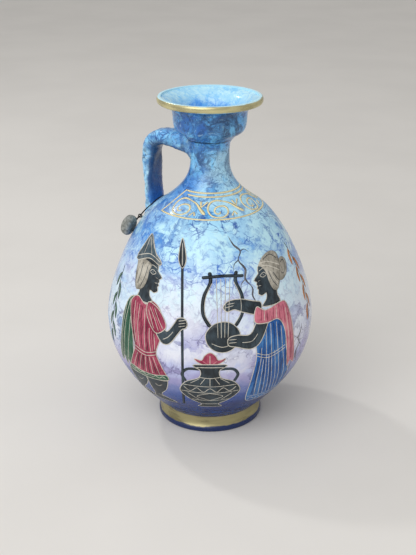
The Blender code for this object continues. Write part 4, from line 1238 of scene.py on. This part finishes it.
class JUG_OT_lyre_player(bpy.types.Operator):
    """Paints the robed figure with a lyre"""

    bl_idname = "jug.lyre_player"
    bl_label = "Lyre player"

    head, lyre = (37, 43, -1), 8
    robe = (
        (30.5, 26), (37, 23), (45.5, 25), (52, 23), (55, 11.5), (53, -1), (56, -15.5), (58, -30),
        (53.5, -42.5), (49, -49), (41, -51), (32, -50.5), (24.5, -49), (24, -38.5), (27, -22), (30, -5),
        (28.5, 7), (28, 17.5),
    )
    bodice_guide = ((33.5, 0), (36.5, 11.5), (40, 14.5), (44.5, 14.5), (48.5, 11))
    skirt_guides = (
        ((33, -9.5), (37, -7.5), (41, -5), (46, -3), (50, -3)),
        ((30.5, -26), (36.5, -28), (42, -26), (48, -24), (53, -24)),
        ((29.5, -43), (36, -43.5), (42, -43.5), (47.5, -43), (51.5, -40.5)),
    )
    belt = ((30, -3), (39, -6), (52.5, -3))
    hem = ((24.5, -42.5), (32, -44), (41, -45), (48.5, -43.5), (53, -41.5))
    hem_guides = ((25, -48), (38, -50), (49.5, -47.5)), ((25, -44.8), (38, -46.5), (49.5, -45.2))
    shawl = (
        (29.5, 26.5), (36, 23.5), (46.5, 25.5), (53, 24.5), (58, 13.5), (61, -3), (62.5, -20), (58, -17),
        (55.5, -21), (53.5, -3), (51, 9.5), (45.5, 16), (36.5, 15.5), (28.5, 17.5),
    )
    shawl_guides = (
        ((33, 24.5), (37, 22.5), (42, 23.5), (46.5, 24.5), (50.5, 23.5)),
        ((33, 17.5), (37.5, 16.5), (42, 17), (47.5, 16), (52, 11.5)),
    )
    tail_guides = ((52.5, 21), (54.5, 17.5)), ((55.5, 1), (57.5, -1)), ((56.5, -16.5), (59, -15.5))
    hair = (
        (31.5, 51.5), (35, 56), (41, 58), (47.5, 55.5), (50, 49), (49.5, 40.5), (47, 34), (43, 34.5),
        (39.5, 40), (37.5, 45.5), (34.5, 49.5),
    )
    hair_guides = ((39, 46.5), (43, 45)), ((42.5, 40), (46.5, 40.5)), ((46.5, 35.5), (48.5, 38.5))
    hair_bands = ((34, 50.5), (39.5, 49.5), (49.5, 44.5)), ((33, 52.5), (39.5, 52), (50, 47.5))
    bun = ((48.5, 49.5), (53.5, 51.5), (58, 47), (56.5, 40.5), (51, 38), (48, 40.5))
    curl = ((51, 48.5), (54, 49.5), (56, 45.5), (53.5, 41.5), (51, 43))
    far_arm = (
        (31.5, 22), (21.5, 24.5), (15, 27), (10.5, 26), (8, 29), (11.5, 32.5), (19, 33), (26.5, 31),
        (33, 28.5)
    )
    far_fingers = ((9, 28.5), (10.5, 30.5)), ((14.5, 29.5), (15, 31))
    near_arm = (
        (39, 21), (33.5, 6), (26.5, 1), (16.5, 3.5), (11.5, 5), (11.5, 9.5), (17, 11), (25, 10.5),
        (29, 16.5), (30.5, 22.5),
    )
    near_fingers = ((11.5, 6.5), (11.5, 8.5)), ((16.5, 6.5), (16.5, 8.5))
    # The lyre's right half, from its own middle
    sound_box = ((3.6, 1), (9.2, 5.5), (10.7, 12.3), (6.1, 18.2), (0, 20))
    lyre_arm = ((8, 17), (12.2, 25), (11.8, 35), (7.8, 44), (8.3, 50.5))
    lyre_shine = ((7, 18), (11.1, 25), (10.6, 35), (6.6, 44))
    strings = placed(((-4.2, 46.5), (4.2, 46.5)), lyre), placed(((-3.1, 10), (3.1, 10)), lyre)
    patches = (
        ("blue", 0, robe), ("black", 0, placed(HEAD, *head)), ("grey", 1, bun, 0), ("grey", 2, hair, 0),
        ("pink", 3, shawl), ("black", 1, far_arm), ("black", 0, mirrored(sound_box, lyre)),
        ("black", 2, near_arm),
    )
    folds = (
        ("cream", 0, FINE, (bodice_guide, *skirt_guides), QUARTERS),
        ("night", 0, FOLD, (bodice_guide, skirt_guides[0]), BETWEEN),
        ("cream", 0, FINE, skirt_guides, BETWEEN[:3]),
        ("night", 0, SOFT, skirt_guides, (0.19, 0.44, 0.87)), ("black", 2, LINE, hair_guides, (0, 1)),
        ("cream", 2, FINE, hair_guides, (0.5,)), ("red", 3, BOLD, shawl_guides, QUARTERS),
        ("cream", 3, FINE, shawl_guides, (0.125, 0.625)), ("cream", 3, FINE, tail_guides, (0,)),
        ("red", 3, BOLD, tail_guides, (1,)), ("cream", 1, FINE, far_fingers, (0, 1)),
        ("cream", 2, FINE, near_fingers, (0, 1)), ("cream", 1, HAIRLINE, strings, (0, 0.33, 0.67, 1)),
    )
    strokes = (
        *face_lines(*head), ("night", 0, 1.4, ((31.5, -9), (29.5, -26), (27.5, -41))),
        ("cream", 0, LINE, belt), ("cream", 0, LINE, placed(belt, 0, -2)), ("cream", 0, LINE, hem),
        ("black", 1, LINE, curl), ("cream", 2, BOLD, hair_bands[0]), ("cream", 2, BOLD, hair_bands[1]),
        ("black", 2, LINE, ((35, 54), (41, 56), (47.5, 52))),
        ("cream", 0, FINE, placed(((-7, 6.5), (0, 4), (7, 6.5)), lyre)),
        *pair("black", 0, 2.3, lyre_arm, lyre), *pair("cream", 1, HAIRLINE, lyre_shine, lyre),
        ("black", 1, 1.9, placed(((-13, 47), (0, 48), (13, 47)), lyre)),
        ("cream", 2, FINE, ((20, 6), (26.5, 6), (30.5, 10))),
    )
    zigzags = (("cream", 0, FINE, *hem_guides, 11),)

    def execute(self, context):
        paint_picture("lyre_player", self.patches, self.folds, self.strokes, self.zigzags)
        return {"FINISHED"}


class JUG_OT_gold_band(bpy.types.Operator):
    """Draws the band of gold scrolls round the shoulder, open at the handle"""

    bl_idname = "jug.gold_band"
    bl_label = "Gold scroll band"

    # Angles from the handle in degrees, and heights of the band's lines and of the scrolls
    scrolls = (80.9, 130.7, 183.8, 233.0, 279.5)
    low, middle, high, scroll_height = 0.1498, 0.1603, 0.1622, 0.1535
    low_end, middle_end, high_end = 56.3, 77, 69.5
    line_width, spiral_width, tail_width, step_angle, metal = 1.2, 1.25, 2, 4, 0.12
    # How far the closing lines pass the lowest and the highest line, and the turn and height of their bend
    low_overlap, high_overlap, bend_turn, bend_height = 0.0003, 0.0004, 0.04, 0.1558
    spiral = (
        (3.5, 7.2), (0, 8), (-3.6, 6.9), (-6, 3.6), (-6.4, -0.2), (-4.8, -3.4), (-1, -4.9), (2.9, -4.5),
        (5.7, -2.2), (6.1, 1), (4.3, 3.4), (1.2, 3.7), (-1.6, 2.3), (-2.6, -0.2), (-1.3, -2), (0.7, -1.7),
        (1.1, -0.2)
    )
    tail = ((3.3, 7.3), (8, 5.4), (13, 1.2), (18, -2.9))
    # Width and line of each leaf between two scrolls
    leaves = (
        (1.7, ((10.2, 7), (12.4, 2.9))), (1.9, ((14.6, 7), (12.6, 2.7))), (1.6, ((8.4, -4.3), (10, -1.2))),
        (1.6, ((12, -3.9), (10, -1)))
    )

    @staticmethod
    def tail_swell(t):
        """A tail's width along it: it grows, and ends in a point."""
        return min(0.4 + 0.75 * t, (1 - t) * 7 + 0.05)

    @staticmethod
    def leaf_swell(t):
        """A leaf's width along it, from its tip to its thinner foot."""
        return 0.9 - 0.5 * t

    def rounds(self, band):
        """The lines round the jug, from one side of the handle to the other."""
        ends, heights = (self.low_end, self.middle_end, self.high_end), (self.low, self.middle, self.high)
        for start, height in zip(ends, heights):
            rise, sweep = band.rise(height), 360 - 2 * start
            reach, steps = band.station(rise)[0].x * 1000, round(sweep / self.step_angle)
            turns = [start - 180 + sweep * step / steps for step in range(steps + 1)]
            band.stroke("gold", 0, self.line_width, [(math.radians(turn) * reach, rise) for turn in turns])

    def closing_lines(self, band):
        """The curved line that closes the band at each side of the handle."""
        near, far = math.radians(self.low_end), math.radians(self.high_end)
        high, low = self.high + self.high_overlap, self.low - self.low_overlap
        corners = (far, high), (near + self.bend_turn, self.bend_height), (near, low)
        for side in (1, -1):
            band.middle = side * (near - math.pi)
            line = []
            for turn, height in corners:
                rise = band.rise(height)
                line.append((side * (turn - near) * band.station(rise)[0].x * 1000, rise))
            band.stroke("gold", 0, self.line_width, line)

    def execute(self, context):
        band = Painting(0, self.low)
        level = band.rise(self.scroll_height)
        self.rounds(band)
        self.closing_lines(band)
        for angle in self.scrolls:
            band.middle = math.radians(angle) - math.pi
            lines = [(self.spiral_width, self.spiral, None)]
            if angle != self.scrolls[-1]:
                lines.append((self.tail_width, self.tail, self.tail_swell))
                lines += [(width, line, self.leaf_swell) for width, line in self.leaves]
            for width, line, swell in lines:
                band.stroke("gold", 0, width, placed(line, 0, level), swell=swell)
        bright, under = context.scene.jug_gold.line, context.scene.jug_glaze.sky
        gold = gold_lustre("band_gold", bright, self.metal, under)
        band.finish("gold_band", SHOULDER_SLOT, lambda tint: gold)
        return {"FINISHED"}


class JUG_OT_leaf_sprigs(bpy.types.Operator):
    """Paints a hanging leaf sprig at each side of the picture"""

    bl_idname = "jug.leaf_sprigs"
    bl_label = "Leaf sprigs"

    # Angle from the handle in degrees, height of the middle, tint of the leaves
    sprigs = ((192, 0.104, "orange"), (52, 0.088, "green"))
    stem, stem_width = ((-2.4, 28), (-0.4, 14), (0.8, 0), (0.2, -14), (-1.6, -26)), 0.8
    leaf_rises, leaf_width = (23, 16.5, 10, 3.5, -3, -9.5, -16), 2.9
    leaf = ((0, 0), (2.8, -4), (3.6, -10.5))
    # How far the stem bows out at its middle, and its fall from there by the square of the rise
    bow, bow_fall = 0.8, 0.0042

    @staticmethod
    def leaf_swell(t):
        """A leaf's width along it: full at its middle, and pointed."""
        return 0.08 + math.sin(math.pi * t) ** 0.8

    def execute(self, context):
        for number, (angle, height, tint) in enumerate(self.sprigs):
            sprig = Painting(math.radians(angle - 180), height)
            sprig.stroke("black", 0, self.stem_width, self.stem)
            for index, rise in enumerate(self.leaf_rises):
                side = 1 if index % 2 else -1
                foot = self.bow - self.bow_fall * rise * rise
                line = placed(self.leaf, foot, rise, side)
                sprig.stroke(tint, 0, self.leaf_width, line, swell=self.leaf_swell)
            sprig.finish(f"leaf_sprig_{number + 1}", BODY_SLOT, pigments())
        return {"FINISHED"}


class JUG_OT_smoke_veins(bpy.types.Operator):
    """Draws the dark branching veins of the marbling"""

    bl_idname = "jug.smoke_veins"
    bl_label = "Dark veins"

    # Angle from the handle in degrees, height of the middle, and size, below 0 for a mirrored vein
    places = ((141, 0.125, 1), (177, 0.064, -0.8), (248, 0.098, -1), (322, 0.112, 1))
    trunk = (
        (-4.4, 20), (-2.2, 14), (1.4, 9.5), (-0.9, 4), (2.6, -2), (1.6, -8), (5.5, -14), (5, -19), (8, -25)
    )
    branches = (
        ((1.4, 9.5), (4.2, 10.4), (7, 8)), ((-0.9, 4), (-4, 1.8), (-5, -2)),
        ((1.6, -8), (-1.6, -11), (-2, -15))
    )
    layer, trunk_width, branch_width = -0.4, 1.5, 0.8

    @staticmethod
    def knots(t):
        """The trunk's width along it: knotted, and thin at both ends."""
        return (0.3 + 0.7 * abs(math.sin(8 * t + 0.6))) * min(1, 5 * t + 0.1, 5 - 5 * t + 0.1)

    @staticmethod
    def taper(t):
        """A branch's width along it, which falls to its end."""
        return 1 - 0.85 * t

    def execute(self, context):
        lines = [(self.trunk_width, self.trunk, self.knots)]
        lines += [(self.branch_width, line, self.taper) for line in self.branches]
        for number, (angle, height, size) in enumerate(self.places):
            vein = Painting(math.radians(angle - 180), height)
            for width, line, swell in lines:
                sized = [(x * size, y * abs(size)) for x, y in line]
                vein.stroke("smoke", self.layer, width, sized, swell=swell)
            vein.finish(f"smoke_vein_{number + 1}", BODY_SLOT, pigments())
        return {"FINISHED"}


class JUG_OT_lead_seal(bpy.types.Operator):
    """Presses the lead seal and finishes its wires"""

    bl_idname = "jug.lead_seal"
    bl_label = "Lead seal"

    # The solid's place, the way its faces look, and the way to its wire
    centre, axis = Vector((-0.0487, -0.0222, 0.1329)), Vector((-0.96025, -0.06277, 0.27197))
    tail = Vector((-0.07036, -0.88849, -0.45348))
    radius, half, border, recess = 0.0069, 0.0031, 0.0034, 0.0004
    slope, lip, sides, edge_steps = 0.0003, 0.0006, 48, 16
    # Where the sunk face has its inner ring, how full the edge's round is, and scale and depth of the dents
    face_ring, fullness, dents = 0.6, 0.9, ((330, 0.00022), (900, 0.00008))

    def press(self, lead):
        """A slug of lead pressed round the wire: a rounded edge, a raised border and sunk faces."""
        inner, face = self.radius - self.border, self.half - self.recess
        outline = [(0, face), (inner * self.face_ring, face), (inner - self.slope, face)]
        outline.append((inner + self.slope, self.half))
        back = [(reach, -rise) for reach, rise in reversed(outline)]
        for step in range(1, self.edge_steps):
            turn = math.pi / 2 - math.pi * step / self.edge_steps
            bulge = (self.border - self.lip) * math.cos(turn) ** self.fullness
            outline.append((inner + self.lip + bulge, self.half * math.sin(turn)))
        side, work, rings = self.axis.cross(self.tail), bmesh.new(), []
        for reach, rise in outline + back:
            ring = []
            for step in range(self.sides if reach else 1):
                turn = math.tau * step / self.sides
                arm = self.axis * rise + (self.tail * math.cos(turn) + side * math.sin(turn)) * reach
                place = self.centre + arm
                dent = sum(noise.noise(place * scale) * depth for scale, depth in self.dents)
                ring.append(work.verts.new(place + arm.normalized() * dent))
            rings.append(ring)
        for near, far in zip(rings, rings[1:]):
            bridge(work, near, far)
        add_piece("pressed_seal", mesh_from("pressed_seal", work), [lead], "lead", ("lead_seal",), "seal")

    def execute(self, context):
        look = context.scene.jug_seal
        lead = Finish("pressed_lead")
        rubbed = lead.noise(0.0025, 4, 0.65)
        lead.set(base_color=lead.ramp(rubbed, [(0.35, look.dull), (0.65, look.lead)]))
        lead.set(metallic=0.12, roughness=lead.step(rubbed, 0.3, 0.7, 0.5, 0.7))
        lead.bump(lead.noise(0.0012, 3, 0.6), 0.4, 0.0003)
        self.press(lead.material)
        wire = Finish("dark_wire")
        rust = wire.noise(0.002, 3, 0.6)
        wire.set(base_color=wire.ramp(rust, [(0.4, look.wire), (0.7, look.rust)]))
        wire.set(metallic=0.7, roughness=wire.step(rust, 0.3, 0.7, 0.35, 0.6))
        for name in ("seal_wire_loop", "seal_wire_tail"):
            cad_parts[name].data.materials.clear()
            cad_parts[name].data.materials.append(wire.material)
        return {"FINISHED"}


class JUG_OT_stage(bpy.types.Operator):
    """Sets the floor, the studio lights and the camera"""

    bl_idname = "jug.stage"
    bl_label = "Stage"

    floor_half = 3
    window_size, window_place = 0.09, (-0.902, 0.175, 1.069)
    soft_size, soft_place = 1.5, (0.03, -1.25, 1.15)
    lamps_aim, sky_tint = Vector((0, 0, 0.11)), (1, 0.99, 0.98, 1)
    # The photograph's width, focal length and shift in pixels
    image_width, focal_length, shift, sensor = 416, 1055.5, -2, 36
    # The camera's distance from the jug's axis, its height, its bearing and how far it looks down
    distance, height, bearing, tilt = 0.64992, 0.36309, math.radians(30), math.radians(22.22)

    def lay_floor(self, scene, tint):
        work = bmesh.new()
        bmesh.ops.create_grid(work, x_segments=1, y_segments=1, size=self.floor_half)
        floor = bpy.data.objects.new("floor", mesh_from("floor", work, smooth=False))
        scene.collection.objects.link(floor)
        paper = Finish("floor_paper")
        grain = paper.noise(0.15, 3, 0.5)
        paper.set(base_color=paper.ramp(grain, [(0.3, darker(tint, 0.04)), (0.7, tint)]), roughness=0.8)
        floor.data.materials.append(paper.material)

    def hang_lamp(self, scene, name, power, size, place):
        light = bpy.data.lights.new(name, "AREA")
        light.energy, light.size = power, size
        lamp = bpy.data.objects.new(name, light)
        lamp.location = place
        lamp.rotation_euler = (self.lamps_aim - lamp.location).to_track_quat("-Z", "Y").to_euler()
        scene.collection.objects.link(lamp)

    def place_camera(self, scene):
        lens = bpy.data.cameras.new("camera")
        lens.sensor_fit, lens.sensor_width = "HORIZONTAL", self.sensor
        lens.lens = self.sensor * self.focal_length / self.image_width
        lens.shift_x = self.shift / self.image_width
        lens.clip_start = 0.01
        camera = bpy.data.objects.new("camera", lens)
        aside, back = math.sin(self.bearing), -math.cos(self.bearing)
        camera.location = (self.distance * aside, self.distance * back, self.height)
        camera.rotation_euler = Euler((math.pi / 2 - self.tilt, 0, self.bearing))
        scene.collection.objects.link(camera)
        scene.camera = camera

    def execute(self, context):
        scene, look = context.scene, context.scene.jug_stage
        self.lay_floor(scene, look.floor)
        self.hang_lamp(scene, "window_light", look.key, self.window_size, self.window_place)
        self.hang_lamp(scene, "soft_light", look.soft, self.soft_size, self.soft_place)
        scene.world = bpy.data.worlds.new("studio")
        scene.world.use_nodes = True
        sky = scene.world.node_tree.nodes["Background"]
        sky.inputs["Color"].default_value = self.sky_tint
        sky.inputs["Strength"].default_value = look.world
        self.place_camera(scene)
        scene.view_settings.view_transform = "Standard"
        return {"FINISHED"}


class JUG_PT_panel(bpy.types.Panel):
    """Lists the jug's pieces and settings"""

    bl_idname = "JUG_PT_panel"
    bl_label = "Painted jug"
    bl_space_type = "VIEW_3D"
    bl_region_type = "UI"
    bl_category = "Painted jug"

    def draw(self, context):
        for operator in OPERATORS:
            self.layout.operator(operator.bl_idname)
        for name, group in SETTINGS:
            box = self.layout.box()
            for key in group.__annotations__:
                box.prop(getattr(context.scene, name), key)


OPERATORS = (
    JUG_OT_glazed_body,
    JUG_OT_gilded_foot,
    JUG_OT_gilded_rim,
    JUG_OT_strap_handle,
    JUG_OT_gold_band,
    JUG_OT_spear_bearer,
    JUG_OT_painted_pot,
    JUG_OT_lyre_player,
    JUG_OT_leaf_sprigs,
    JUG_OT_smoke_veins,
    JUG_OT_lead_seal,
    JUG_OT_stage,
)


def register():
    for name, group in SETTINGS:
        bpy.utils.register_class(group)
        setattr(bpy.types.Scene, name, PointerProperty(type=group))
    for item in (*OPERATORS, JUG_PT_panel):
        bpy.utils.register_class(item)


def unregister():
    for item in (JUG_PT_panel, *reversed(OPERATORS)):
        bpy.utils.unregister_class(item)
    for name, group in reversed(SETTINGS):
        delattr(bpy.types.Scene, name)
        bpy.utils.unregister_class(group)


def main():
    register()
    bpy.ops.jug.stage()
    bpy.ops.jug.glazed_body()
    bpy.ops.jug.gilded_foot()
    bpy.ops.jug.gilded_rim()
    bpy.ops.jug.strap_handle()
    bpy.ops.jug.gold_band()
    bpy.ops.jug.spear_bearer()
    bpy.ops.jug.painted_pot()
    bpy.ops.jug.lyre_player()
    bpy.ops.jug.leaf_sprigs()
    bpy.ops.jug.smoke_veins()
    bpy.ops.jug.lead_seal()


if __name__ == "__main__":
    main()
